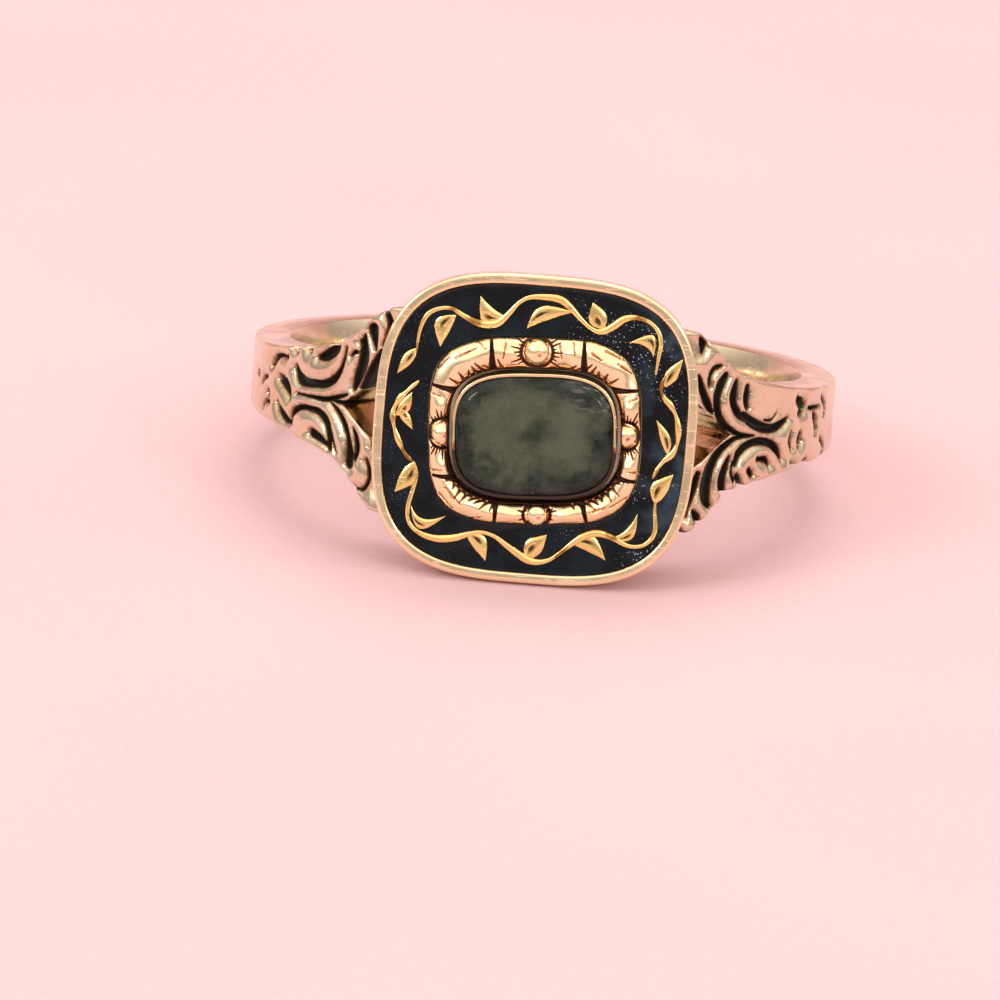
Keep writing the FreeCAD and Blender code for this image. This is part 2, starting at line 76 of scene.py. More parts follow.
bore = frame["record"]["mounts"][0]
hole_middle = np.array(bore["pos_m"]) / MM
tilt = math.atan2(bore["axis"][1], bore["axis"][2])
print("tilt in degrees", round(math.degrees(tilt), 2), "hole middle in mm", hole_middle.round(3))


def laid(points):
    """Turns points or directions from the standing ring's axes to the lying ring's."""
    p = np.asarray(points, dtype=float)
    c, s = math.cos(tilt), math.sin(tilt)
    return np.stack([p[..., 0], p[..., 1] * c + p[..., 2] * s, -p[..., 1] * s + p[..., 2] * c], -1)


def placed(points):
    """Ring axes in millimetres to metres in the lying pose."""
    return (laid(points) + hole_middle) * MM


def turned(across, up, turn):
    c, s = math.cos(turn), math.sin(turn)
    return across * c - up * s, across * s + up * c


def from_face(across, up, out, turn=0.0):
    """Points of the head's face: across and up from its centre, out from the rim's front."""
    x, z = turned(across, up, turn)
    return placed(np.stack([x, -face_depth - out, z], -1))


# %% [markdown]
# Every piece ends the same way: a mesh in metres with its place in its points, smooth shading broken
# only at real edges, a material, a body to ride on, and the solid it stands for hidden.
# Two helpers do that, so that no piece forgets a step. A mesh may carry one value at each point, which
# tells the materials where the hollows hold oxide, and on the collet and the glass where shade is painted.

# %% Turn arrays of points and faces into a finished piece
merge_distance = 2e-7


def build_mesh(name, points, faces, edge_angle=40.0, oxide_and_shade=None):
    """A welded mesh that faces outwards, smooth except at edges sharper than the angle."""
    mesh = bpy.data.meshes.new(name)
    mesh.from_pydata(points.tolist(), [], faces)
    if oxide_and_shade is not None:
        mesh.attributes.new("oxide_and_shade", "FLOAT", "POINT").data.foreach_set("value", np.float32(oxide_and_shade))
    work = bmesh.new()
    work.from_mesh(mesh)
    bmesh.ops.remove_doubles(work, verts=work.verts, dist=merge_distance)
    bmesh.ops.recalc_face_normals(work, faces=work.faces)
    work.to_mesh(mesh)
    work.free()
    mesh.shade_smooth()
    mesh.set_sharp_from_angle(angle=math.radians(edge_angle))
    return mesh


def link_object(name, data):
    made = bpy.data.objects.new(name, data)
    bpy.context.scene.collection.objects.link(made)
    return made


def finish_piece(name, mesh, material, node):
    piece = link_object(name, mesh)
    mesh.materials.append(material)
    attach(piece, "root")
    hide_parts(node)
    print(name, "faces", len(mesh.polygons))
    return piece


def sheet_faces(rows, columns, wrap_rows=False, wrap_columns=False):
    """Quads of a grid whose points run row by row."""
    r = np.arange(rows if wrap_rows else rows - 1)[:, None]
    c = np.arange(columns if wrap_columns else columns - 1)[None, :]
    next_r, next_c = (r + 1) % rows, (c + 1) % columns
    corners = (r * columns + c, r * columns + next_c, next_r * columns + next_c, next_r * columns + c)
    return np.stack(corners, -1).reshape(-1, 4)


def cushion_reach(x, z, half_x, half_z, power):
    """How far out a point lies in a cushion outline: 0 in the middle and 1 on the outline."""
    return (np.abs(x / half_x) ** power + np.abs(z / half_z) ** power) ** (1.0 / power)


def cushion(half_x, half_z, power, sides):
    """Points round a cushion outline, an ellipse with fuller corners."""
    t = 2.0 * math.pi * np.arange(sides) / sides
    c, s = np.cos(t), np.sin(t)
    size = 1.0 / cushion_reach(c, s, half_x, half_z, power)
    return size * c, size * s


# %% [markdown]
# A path is given by a few points. A smooth curve through them comes from a Catmull-Rom spline,
# which passes through every point, so the tables stay short and the leaves stay round.

# %% Smooth a short list of points into a curve
def smooth(points, steps):
    p = np.asarray(points, dtype=float)
    ends = np.vstack([p[:1], p, p[-1:]])
    t = np.arange(steps)[:, None] / steps
    spans = []
    for a, b, c, d in zip(ends, ends[1:], ends[2:], ends[3:]):
        bend = (2 * a - 5 * b + 4 * c - d) * t ** 2 + (3 * b - a - 3 * c + d) * t ** 3
        spans.append(0.5 * (2 * b + (c - a) * t + bend))
    return np.vstack(spans + [p[-1:]])


# %% [markdown]
# Old gold is never one colour. The high spots are rubbed bright, fine scratches run over them, and the
# hollows of the chasing hold black oxide. Two shader groups make this once for every material that needs
# it: wear gives dullness and tiny dents, and tarnish turns a mask into colour. The mask marks the oxide in
# the hollows, and on the collet it also marks painted shade. Each material sets its own amounts. The
# groups hand over only colours and values, so the shader stays outside.

# %% Small helpers for node trees
def new_tree(name, kind, inputs, outputs):
    """A node group: each input is a label, a kind of socket and sometimes a value."""
    tree = bpy.data.node_groups.new(name, kind)
    for label, socket, *value in inputs:
        item = tree.interface.new_socket(label, in_out="INPUT", socket_type="NodeSocket" + socket)
        if value:
            item.default_value = value[0]
    for label, socket in outputs:
        tree.interface.new_socket(label, in_out="OUTPUT", socket_type="NodeSocket" + socket)
    return tree, tree.nodes.new("NodeGroupInput").outputs, tree.nodes.new("NodeGroupOutput")


def feed(tree, socket, value):
    """Links what comes from a node, and sets what is plain. Colours are given without alpha."""
    if isinstance(value, bpy.types.NodeSocket):
        tree.links.new(value, socket)
    elif socket.type == "RGBA":
        socket.default_value = (*value, 1.0)
    else:
        socket.default_value = value


def feed_node(tree, node, **inputs):
    """Feeds a node's inputs by name, with _ for a space."""
    for key, value in inputs.items():
        feed(tree, node.inputs[key.replace("_", " ")], value)
    return node


def add_node(tree, kind, settings=None, **inputs):
    node = tree.nodes.new(kind)
    for key, value in (settings or {}).items():
        setattr(node, key, value)
    return feed_node(tree, node, **inputs)


def maths(tree, operation, a, b, clamp=False):
    node = add_node(tree, "ShaderNodeMath", {"operation": operation, "use_clamp": clamp})
    feed(tree, node.inputs[0], a)
    feed(tree, node.inputs[1], b)
    return node.outputs[0]


def remap(tree, value, low, high, to_low=0.0, to_high=1.0):
    """Turns the span from low to high into another span, with soft ends."""
    node = add_node(tree, "ShaderNodeMapRange", {"interpolation_type": "SMOOTHSTEP"}, Value=value,
                    From_Min=low, From_Max=high, To_Min=to_low, To_Max=to_high)
    return node.outputs["Result"]


def blend_colours(tree, factor, first, second):
    node = add_node(tree, "ShaderNodeMix", {"data_type": "RGBA"})
    for index, value in ((0, factor), (6, first), (7, second)):
        feed(tree, node.inputs[index], value)
    return node.outputs[2]


def noise(tree, place, scale, detail, roughness=0.5):
    node = add_node(tree, "ShaderNodeTexNoise", Vector=place, Scale=scale, Detail=detail,
                    Roughness=roughness)
    return node.outputs["Fac"]


def stretched(tree, place, rotation, scale):
    node = add_node(tree, "ShaderNodeMapping", Vector=place, Rotation=rotation, Scale=scale)
    return node.outputs[0]


# %% Shader group for hand wear
scratch_turns = ((0.2, 0.9, 0.1), (-0.3, -0.5, 0.2), (0.1, 0.15, -0.2))
scratch_stretch = (0.10, 1.0, 1.0)
dents_per_mm = 22.0
patch_share, scratch_share, dent_share = 0.7, 0.3, 0.35


def make_wear_group():
    tree, entry, leave = new_tree(
        "hand wear", "ShaderNodeTree",
        (("Place", "Vector"), ("Patches per mm", "Float", 1.2), ("Scratches per mm", "Float", 9.0)),
        (("Dullness", "Float"), ("Height", "Float")))
    in_mm = add_node(tree, "ShaderNodeVectorMath", {"operation": "SCALE"}, Vector=entry["Place"],
                     Scale=1.0 / MM)
    place = in_mm.outputs[0]
    patches = remap(tree, noise(tree, place, entry["Patches per mm"], 4.0, 0.6), 0.35, 0.7)
    dents = noise(tree, place, dents_per_mm, 3.0)
    lines = []
    for turn in scratch_turns:
        along = stretched(tree, place, turn, scratch_stretch)
        streaks = noise(tree, along, entry["Scratches per mm"], 2.0)
        lines.append(remap(tree, streaks, 0.66, 0.72))
    scratch = maths(tree, "MAXIMUM", maths(tree, "MAXIMUM", lines[0], lines[1]), lines[2])
    dull = maths(tree, "ADD", maths(tree, "MULTIPLY", patches, patch_share),
                 maths(tree, "MULTIPLY", scratch, scratch_share), clamp=True)
    height = maths(tree, "SUBTRACT", maths(tree, "MULTIPLY", dents, dent_share), scratch)
    feed_node(tree, leave, Dullness=dull, Height=height)
    return tree


# %% Shader group for tarnish in the hollows, which also colours painted shade
tarnish_grain, tarnish_break = 4500.0, 0.55
oxide_cover = 0.7


def make_tarnish_and_shade_group():
    tree, entry, leave = new_tree(
        "tarnish and painted shade", "ShaderNodeTree",
        (("Place", "Vector"), ("Sunk", "Float", 0.0), ("Metal", "Color"), ("Warm", "Color"),
         ("Oxide", "Color")),
        (("Colour", "Color"), ("Bare metal", "Float"), ("Matt", "Float")))
    grain = maths(tree, "SUBTRACT", noise(tree, entry["Place"], tarnish_grain, 4.0), 0.5)
    mask = maths(tree, "ADD", entry["Sunk"], maths(tree, "MULTIPLY", grain, tarnish_break))
    warm = remap(tree, mask, 0.10, 0.45)
    oxide = remap(tree, mask, 0.42, 0.72)
    colour = blend_colours(tree, warm, entry["Metal"], entry["Warm"])
    colour = blend_colours(tree, oxide, colour, entry["Oxide"])
    bare = maths(tree, "SUBTRACT", 1.0, maths(tree, "MULTIPLY", oxide, oxide_cover))
    feed_node(tree, leave, Colour=colour, Bare_metal=bare, Matt=oxide)
    return tree


wear_group = make_wear_group()
tarnish_and_shade_group = make_tarnish_and_shade_group()
print("shader groups", wear_group.name, "and", tarnish_and_shade_group.name)


# %% [markdown]
# The golds differ only in numbers. The band is rose gold with near-black hollows. The rim is rubbed pale
# by every touch. The chased frame is bright and more polished with brown lines, and the scroll in the
# enamel is yellower, because fired enamel leaves fine gold bright. Each mesh brings its own mask of
# hollows, and the collet's mask is painted shade.

# %% Make the golds
light_patch = (1.06, 1.12, 1.20)
matt_oxide = 0.35


def new_material(name):
    material = bpy.data.materials.new(name)
    material.use_nodes = True
    tree = material.node_tree
    shader = tree.nodes["Principled BSDF"]
    return material, tree, shader, tree.nodes.new("ShaderNodeTexCoord").outputs["Object"]


# The mask of each mesh: oxide in the hollows, and painted shade on the collet and the glass
def mesh_mask(tree):
    return add_node(tree, "ShaderNodeAttribute", {"attribute_name": "oxide_and_shade"}).outputs["Fac"]


def worn(tree, place, **amounts):
    node = add_node(tree, "ShaderNodeGroup", {"node_tree": wear_group}, Place=place, **amounts)
    return node.outputs["Dullness"], node.outputs["Height"]


def bumps(tree, height, distance_mm, strength=1.0):
    node = add_node(tree, "ShaderNodeBump", Strength=strength, Distance=distance_mm * MM, Height=height)
    return node.outputs["Normal"]


def make_gold(name, metal, warm, oxide, polish, dulled, dents_mm):
    material, tree, shader, place = new_material(name)
    dullness, dents = worn(tree, place)
    lighter = [min(1.0, value * more) for value, more in zip(metal, light_patch)]
    tinted = blend_colours(tree, remap(tree, noise(tree, place, 420.0, 2.0), 0.35, 0.65), metal, lighter)
    tarnish = add_node(tree, "ShaderNodeGroup", {"node_tree": tarnish_and_shade_group}, Place=place,
                       Sunk=mesh_mask(tree), Metal=tinted, Warm=warm, Oxide=oxide).outputs
    rough = remap(tree, dullness, 0.0, 1.0, polish, dulled)
    rough = maths(tree, "ADD", rough, maths(tree, "MULTIPLY", tarnish["Matt"], matt_oxide), clamp=True)
    feed_node(tree, shader, Base_Color=tarnish["Colour"], Metallic=tarnish["Bare metal"], Roughness=rough,
              Normal=bumps(tree, dents, dents_mm))
    return material


rose_gold = make_gold("rose gold", (0.71, 0.56, 0.385), (0.32, 0.19, 0.11), (0.022, 0.019, 0.014),
                      0.13, 0.31, 0.0030)
rim_gold = make_gold("rubbed rim gold", (0.94, 0.73, 0.46), (0.45, 0.28, 0.13), (0.02, 0.015, 0.01),
                     0.14, 0.32, 0.0030)
frame_gold = make_gold("chased frame gold", (0.98, 0.74, 0.44), (0.55, 0.20, 0.08), (0.035, 0.012, 0.008),
                       0.11, 0.26, 0.0022)
scroll_gold = make_gold("scroll gold", (0.93, 0.67, 0.26), (0.36, 0.19, 0.05), (0.03, 0.018, 0.01),
                        0.14, 0.32, 0.0030)
print("golds", [m.name for m in (rose_gold, rim_gold, frame_gold, scroll_gold)])

# %% [markdown]
# The band is one dense sheet bent round the finger hole. Its outline, as angle, upper edge, lower edge
# and radius, is the solid's own. A chaser draws with what is taken away: dark grooves run between leaves
# and curls that stay bright. So each row here is one groove, as points of angle, height on the band and
# width, and a smooth curve through them swells and tapers like the stroke of a graver.

# %% Tables of the band and its chasing
OUTLINE = np.array((
    (0.0, 3.40, -3.20, 9.60), (20.0, 3.60, -3.40, 10.60), (24.0, 3.65, -3.40, 11.05),
    (28.0, 3.50, -3.25, 11.15), (31.0, 3.05, -2.85, 11.05), (34.0, 2.55, -2.25, 10.95),
    (38.0, 2.10, -1.80, 10.82), (44.0, 1.80, -1.58, 10.62), (52.0, 1.55, -1.38, 10.40),
    (60.0, 1.38, -1.24, 10.25), (75.0, 1.24, -1.18, 10.08), (90.0, 1.18, -1.15, 9.998),
    (120.0, 1.15, -1.15, 9.90), (180.0, 1.15, -1.15, 9.75)))

GROOVES_LEFT = (
    ((51.8, 0.82, 0.23), (50.2, 0.53, 0.40), (47.5, 0.45, 0.28), (44.5, 0.50, 0.24),
     (41.7, 0.58, 0.24), (39.3, 0.81, 0.24), (37.7, 1.17, 0.15), (36.8, 1.61, 0.09),
     (36.5, 1.95, 0.07)),
    ((44.2, 1.40, 0.16), (41.8, 1.54, 0.34), (39.7, 1.78, 0.36), (38.7, 2.02, 0.25)),
    ((52.3, 1.52, 0.23), (51.9, 1.49, 0.23)),
    ((47.3, 1.63, 0.21), (47.1, 1.59, 0.21)),
    ((33.0, 2.26, 0.15), (32.9, 2.21, 0.15)),
    ((35.2, 1.70, 0.05), (34.3, 1.86, 0.10), (32.9, 1.86, 0.04)),
    ((30.4, 2.73, 0.37), (30.0, 2.47, 0.27), (29.4, 2.07, 0.05)),
    ((30.5, 3.19, 0.08), (29.7, 3.37, 0.19), (28.4, 3.46, 0.19), (27.3, 3.21, 0.16),
     (26.7, 2.81, 0.19), (27.3, 2.29, 0.24)),
    ((32.2, 2.46, 0.12), (32.1, 1.95, 0.35), (32.2, 1.54, 0.40), (33.1, 1.05, 0.35),
     (33.8, 0.67, 0.19)),
    ((27.8, 1.97, 0.33), (28.9, 1.53, 0.49), (30.6, 1.02, 0.41), (32.1, 0.72, 0.14)),
    ((51.0, 0.00, 0.04), (46.7, 0.02, 0.08), (41.3, 0.07, 0.15), (37.9, 0.24, 0.13),
     (35.5, 0.40, 0.05)),
    ((39.1, 0.09, 0.08), (35.7, 0.07, 0.14), (32.4, -0.11, 0.16), (29.6, -0.49, 0.20),
     (28.3, -0.92, 0.26), (27.4, -1.61, 0.24), (26.7, -2.46, 0.14)),
    ((39.9, 0.03, 0.06), (37.6, -0.22, 0.15), (35.7, -0.58, 0.19), (34.5, -1.00, 0.18),
     (33.9, -1.45, 0.30), (33.8, -1.86, 0.32)),
    ((33.4, -0.68, 0.07), (32.6, -0.94, 0.16), (32.1, -1.34, 0.17), (32.6, -1.71, 0.10)),
    ((29.7, -1.62, 0.08), (28.9, -1.96, 0.11), (29.0, -2.33, 0.11), (30.1, -2.63, 0.08),
     (32.0, -2.61, 0.04)),
    ((52.4, -0.86, 0.17), (51.7, -0.63, 0.21), (49.0, -0.42, 0.16), (45.9, -0.38, 0.15),
     (42.9, -0.43, 0.22), (40.6, -0.67, 0.27), (39.6, -1.05, 0.27), (39.1, -1.50, 0.20)),
    ((44.8, -1.16, 0.27), (42.3, -1.26, 0.24), (40.1, -1.40, 0.14)),
    ((58.8, -0.54, 0.14), (57.1, -0.78, 0.25), (54.6, -0.97, 0.23), (52.3, -1.03, 0.09)),
    ((58.3, 0.31, 0.25), (55.9, 0.19, 0.36), (54.1, -0.02, 0.26), (53.6, -0.22, 0.14)),
    ((62.3, 0.59, 0.15), (61.2, 0.88, 0.25), (58.8, 1.07, 0.11), (55.4, 1.09, 0.07)),
    ((64.1, -0.34, 0.26), (63.7, -0.38, 0.26)),
    ((72.2, 0.14, 0.22), (71.5, 0.11, 0.22)),
    ((38.8, -1.05, 0.05), (38.2, -1.32, 0.07), (37.2, -1.60, 0.05)),
    ((66.3, -0.88, 0.15), (65.2, -0.64, 0.14), (62.7, -0.65, 0.07)),
    ((68.4, -0.10, 0.13), (67.0, 0.10, 0.16), (64.7, 0.21, 0.07)))
GROOVES_RIGHT = (
    ((27.9, 3.34, 0.10), (28.4, 3.15, 0.25), (28.3, 2.87, 0.09)),
    ((28.1, 2.06, 0.12), (29.3, 1.53, 0.22), (30.7, 1.07, 0.25), (31.7, 0.85, 0.12)),
    ((30.5, 1.71, 0.06), (30.5, 2.03, 0.10), (31.3, 2.31, 0.13), (32.9, 2.42, 0.07)),
    ((34.2, 2.06, 0.22), (33.2, 1.77, 0.32), (32.6, 1.35, 0.30), (32.8, 0.92, 0.26),
     (34.1, 0.53, 0.25), (36.3, 0.25, 0.18), (39.1, 0.05, 0.12), (42.9, -0.02, 0.06)),
    ((36.9, 1.84, 0.16), (36.5, 1.42, 0.31), (36.8, 1.05, 0.26), (38.0, 0.77, 0.25),
     (39.6, 0.54, 0.10)),
    ((39.9, 1.63, 0.21), (39.8, 1.26, 0.26), (40.2, 0.95, 0.17)),
    ((39.3, 0.73, 0.19), (41.1, 0.51, 0.30), (44.1, 0.28, 0.33), (47.6, 0.16, 0.29),
     (50.7, 0.23, 0.28), (53.1, 0.41, 0.15)),
    ((45.4, 0.47, 0.04), (47.8, 0.46, 0.07), (49.3, 0.65, 0.06)),
    ((56.8, 1.03, 0.21), (58.9, 0.78, 0.47), (57.7, 0.56, 0.17)),
    ((61.8, 0.67, 0.10), (64.6, 0.63, 0.15), (67.7, 0.64, 0.08)),
    ((64.7, 0.42, 0.23), (66.4, 0.09, 0.36), (66.4, -0.29, 0.16)),
    ((59.0, -0.21, 0.23), (58.8, -0.37, 0.38), (58.7, -0.53, 0.23)),
    ((55.2, -0.05, 0.08), (54.9, -0.35, 0.15), (55.7, -0.63, 0.08)),
    ((56.0, -1.10, 0.10), (59.1, -1.31, 0.17), (62.4, -1.12, 0.13)),
    ((38.2, -0.93, 0.19), (38.8, -0.61, 0.27), (40.8, -0.34, 0.27), (44.0, -0.23, 0.24),
     (47.4, -0.31, 0.24), (50.2, -0.55, 0.26), (52.0, -0.91, 0.10)),
    ((42.0, -0.03, 0.06), (38.1, -0.05, 0.14), (35.4, -0.28, 0.24), (33.4, -0.61, 0.30),
     (32.2, -1.03, 0.34), (31.5, -1.51, 0.41), (31.7, -1.99, 0.36), (32.5, -2.28, 0.17)),
    ((29.6, -1.20, 0.17), (28.9, -1.62, 0.25), (28.0, -2.15, 0.22), (27.5, -2.61, 0.10)),
    ((36.5, -0.69, 0.12), (35.7, -1.09, 0.27), (35.2, -1.51, 0.30), (35.8, -1.90, 0.24),
     (37.4, -1.85, 0.10)),
    ((37.5, -0.86, 0.07), (37.3, -1.18, 0.10), (38.2, -1.50, 0.10)),
    ((38.9, -1.36, 0.23), (40.0, -1.66, 0.21)),
    ((44.5, -0.84, 0.10), (46.8, -0.87, 0.18), (47.9, -1.07, 0.09)),
    ((42.2, -1.20, 0.18), (43.0, -1.36, 0.16)),
    ((29.1, -2.44, 0.08), (30.0, -2.64, 0.25), (30.5, -2.85, 0.14)),
    ((26.1, -2.84, 0.08), (27.2, -3.20, 0.15), (29.2, -3.24, 0.05)),
    ((68.8, 0.95, 0.14), (71.8, 0.57, 0.25), (71.4, 0.24, 0.16)),
    ((70.1, -0.50, 0.15), (73.5, -0.89, 0.22), (71.4, -1.18, 0.12)))
print("grooves", len(GROOVES_LEFT) + len(GROOVES_RIGHT))

# %% [markdown]
# The signed distance to the nearest groove shapes the metal. Inside a groove the surface falls quickly
# and the mask turns black. Outside it the metal swells like a small pillow, which is what makes the leaves
# between the grooves look full. Both fade towards the back of the ring, where the band becomes plain.

# %% Distance to the chasing
arc_radius, far_away = 10.4, 9.0
groove_steps = 4


def smoothstep(value, low, high):
    t = np.clip((value - low) / (high - low), 0.0, 1.0)
    return t * t * (3.0 - 2.0 * t)


def groove_gap(angle, z, grooves):
    """Distance in mm to the nearest groove's edge, below zero inside a groove."""
    arc = arc_radius * np.radians(angle)
    best = np.full(arc.shape, far_away)
    for groove in grooves:
        p = np.asarray(groove)
        flat = np.column_stack([arc_radius * np.radians(p[:, 0]), p[:, 1], 0.5 * p[:, 2]])
        curve = smooth(flat, groove_steps)
        for (s0, z0, w0), (s1, z1, w1) in zip(curve, curve[1:]):
            ds, dz = s1 - s0, z1 - z0
            t = np.clip(((arc - s0) * ds + (z - z0) * dz) / (ds * ds + dz * dz + 1e-12), 0.0, 1.0)
            gap = np.hypot(arc - s0 - t * ds, z - z0 - t * dz)
            best = np.minimum(best, gap - (w0 + t * (w1 - w0)))
    return best


# %% Work out the chased surface
groove_depth, groove_wall = 0.34, 0.055
pillow_rise, pillow_reach = 0.20, 0.24
grime_depth, grime_reach = 0.42, 0.12
slit_end, slit_crotch = 25.5, 36.5
slit_half_height, slit_middle = 1.43, 0.08
edge_round, edge_scallop, scallop_reach, scallop_blur = 0.14, 0.13, 0.08, 7
wall_row_depth, bore_round = 0.42, 0.05
# Angles between which each effect comes or goes, and what is left of it on the plain band
scallop_start, scallop_fade = (24.0, 26.0), (55.0, 70.0)
pillow_fade, groove_fade, dark_fade = (58.0, 80.0), (56.0, 80.0), (60.0, 82.0)
groove_left, dark_left = 0.4, 0.6
rows_half, row_crowding = 62, 0.15

# Rows crowd a little towards the edges, and columns are fine where the shoulders are chased
row_places = -np.cos(math.pi * np.linspace(row_crowding, 1.0 - row_crowding, rows_half + 1))
row_places = (row_places - row_places[0]) / (row_places[-1] - row_places[0])
side_angles = np.concatenate([np.arange(0.0, 24.0, 3.0), np.arange(24.0, 58.0, 0.2),
                              np.arange(58.0, 98.0, 0.5), np.arange(98.0, 180.0, 2.0)])
print("columns on each side", len(side_angles))


def fading(angles, first, last, left=0.0):
    """1 on the shoulders, falling to what is left on the plain band, between two angles."""
    return 1.0 - (1.0 - left) * smoothstep(angles, first, last)


def scalloped(edge, way, angles, grooves):
    """An edge of the band, dipping where a groove runs out over it."""
    gap = groove_gap(angles, edge - way * scallop_reach, grooves)
    dip = smoothstep(-gap, -0.03, 0.05) * fading(angles, *scallop_fade) * smoothstep(angles, *scallop_start)
    padded = np.pad(dip, scallop_blur // 2, mode="edge")
    blurred = np.convolve(padded, np.ones(scallop_blur) / scallop_blur, mode="valid")
    return edge - way * edge_scallop * blurred


def slit_half(angles):
    """Half the slit's height, which is greatest under the head and zero where there is no slit."""
    share = (slit_crotch - angles) / (slit_crotch - slit_end)
    return np.where((angles >= slit_end) & (angles < slit_crotch), slit_half_height * share, 0.0)


def bent(radius, angles, side, z):
    turn = np.radians(angles) * side
    return np.stack([radius * np.sin(turn), -radius * np.cos(turn), z], -1)


def band_side(angles, side):
    """Outer and inner points of the band for one side, the mask of hollows, and where the slit is open."""
    grooves = GROOVES_RIGHT if side > 0 else GROOVES_LEFT
    upper, lower, radius = (np.interp(angles, OUTLINE[:, 0], OUTLINE[:, i]) for i in (1, 2, 3))
    upper, lower = scalloped(upper, 1.0, angles, grooves), scalloped(lower, -1.0, angles, grooves)
    half = slit_half(angles)
    low, high = slit_middle - half, slit_middle + half
    z = np.concatenate([lower[:, None] + (low - lower)[:, None] * row_places,
                        high[:, None] + (upper - high)[:, None] * row_places], axis=1)
    a = np.repeat(angles[:, None], z.shape[1], axis=1)
    gap = groove_gap(a, z, grooves)
    outside, inside = np.maximum(gap, 0.0), np.minimum(gap, 0.0)
    pillow = pillow_rise * (1.0 - np.exp(-outside / pillow_reach)) * fading(a, *pillow_fade)
    groove = groove_depth * (1.0 - np.exp(inside / groove_wall)) * fading(a, *groove_fade, groove_left)
    grime = grime_depth * np.exp(-outside / grime_reach)
    oxide_and_shade = np.maximum(smoothstep(-gap, -0.025, 0.035), grime) * fading(a, *dark_fade, dark_left)
    from_edge = np.minimum(z - lower[:, None], upper[:, None] - z)
    slit_gap = np.where(z > slit_middle, z - high[:, None], low[:, None] - z)
    from_edge = np.where(half[:, None] > 0.0, np.minimum(from_edge, slit_gap + 0.02), from_edge)
    e = np.clip(from_edge / edge_round, 0.0, 1.0)
    rounding = edge_round * (1.0 - np.sqrt(1.0 - (1.0 - e) ** 2))
    outer = bent(radius[:, None] + pillow - groove - rounding, a, side, z)
    wall, hole = radius - wall_row_depth, np.full(len(angles), finger_radius)
    inner_z = np.stack([lower, lower, lower + bore_round, low, high, upper - bore_round, upper, upper], -1)
    inner_r = np.stack([wall, hole + bore_round, hole, hole, hole, hole, hole + bore_round, wall], -1)
    inner = bent(inner_r, angles[:, None], side, inner_z)
    return outer, inner, oxide_and_shade, half > 0.0


# %% Join both sides into one closed band
inner_rows, slit_low, slit_high = 8, 3, 4
wide_opening = 0.5


def make_band():
    right, back = band_side(side_angles, 1), band_side(np.array([180.0]), 1)
    left = [values[::-1] for values in band_side(side_angles[1:], -1)]
    outer, inner, oxide_and_shade, is_open = (np.concatenate(values) for values in zip(right, back, left))
    columns, rows = outer.shape[:2]
    points = np.concatenate([outer.reshape(-1, 3), inner.reshape(-1, 3)])
    mask = np.concatenate([oxide_and_shade.ravel(), np.zeros(columns * inner_rows)])
    out_id = np.arange(columns * rows).reshape(columns, rows)
    in_id = columns * rows + np.arange(columns * inner_rows).reshape(columns, inner_rows)
    following = np.roll(np.arange(columns), -1)
    faces = []

    def strip(near, far):
        faces.extend(np.stack([near[following], far[following], far, near], -1).tolist())

    above = rows_half + 1
    below = above - 1
    for row in (*range(below), *range(above, rows - 1)):
        strip(out_id[:, row], out_id[:, row + 1])
    for row in (*range(slit_low), *range(slit_high, inner_rows - 1)):
        strip(in_id[:, row + 1], in_id[:, row])
    strip(in_id[:, 0], out_id[:, 0])
    strip(out_id[:, -1], in_id[:, -1])
    opening = outer[:, above, 2] - outer[:, below, 2]
    for i, j in enumerate(following):
        widest = max(opening[i], opening[j])
        if (is_open[i] or is_open[j]) and (is_open[i] == is_open[j] or widest <= wide_opening):
            faces.append([out_id[j, below], in_id[j, slit_low], in_id[i, slit_low], out_id[i, below]])
            faces.append([in_id[j, slit_high], out_id[j, above], out_id[i, above], in_id[i, slit_high]])
        elif is_open[i] != is_open[j]:
            # The slit's wide end, under the head, is closed by a wall, with a face outside and one inside
            k, m = (i, j) if is_open[i] else (j, i)
            faces.append([out_id[k, below], out_id[k, above], out_id[m, above]])
            faces.append([in_id[k, slit_high], in_id[k, slit_low], in_id[m, slit_high]])
            faces.append([out_id[k, below], in_id[k, slit_low], in_id[k, slit_high], out_id[k, above]])
    print("columns of the band", columns, "of which the slits cross", int(is_open.sum()))
    return points, faces, mask


band_points, band_faces, band_mask = make_band()
band_mesh = build_mesh("band", placed(band_points), band_faces, 50.0, band_mask)
finish_piece("band", band_mesh, rose_gold, "hoop")

# %% [markdown]
# Several pieces of the head are one section carried along a path: the rim, the collet that grips the
# glass, and the stems of the scroll. Two small Geometry Nodes trees do this. Each turns the path's points
# into a curve, carries a profile along it and hands it a material. The stems' tree also takes its radius
# from an attribute and flattens the result. The path is drawn on the head's face in millimetres, and the
# grown mesh is laid down after.

# %% Trees that carry a section along a path
def new_path_tree(name, inputs):
    """A tree whose first input is the path, with a curve node already on it."""
    tree, entry, leave = new_tree(name, "GeometryNodeTree", (("Geometry", "Geometry"), *inputs),
                                  (("Geometry", "Geometry"),))
    path = add_node(tree, "GeometryNodeMeshToCurve", Mesh=entry["Geometry"])
    return tree, entry, leave, path.outputs[0]


def close_tree(tree, entry, leave, geometry):
    realized = add_node(tree, "GeometryNodeRealizeInstances", Geometry=geometry)
    painted = add_node(tree, "GeometryNodeSetMaterial", Geometry=realized.outputs[0],
                       Material=entry["Material"])
    feed_node(tree, leave, Geometry=painted.outputs[0])
    return tree


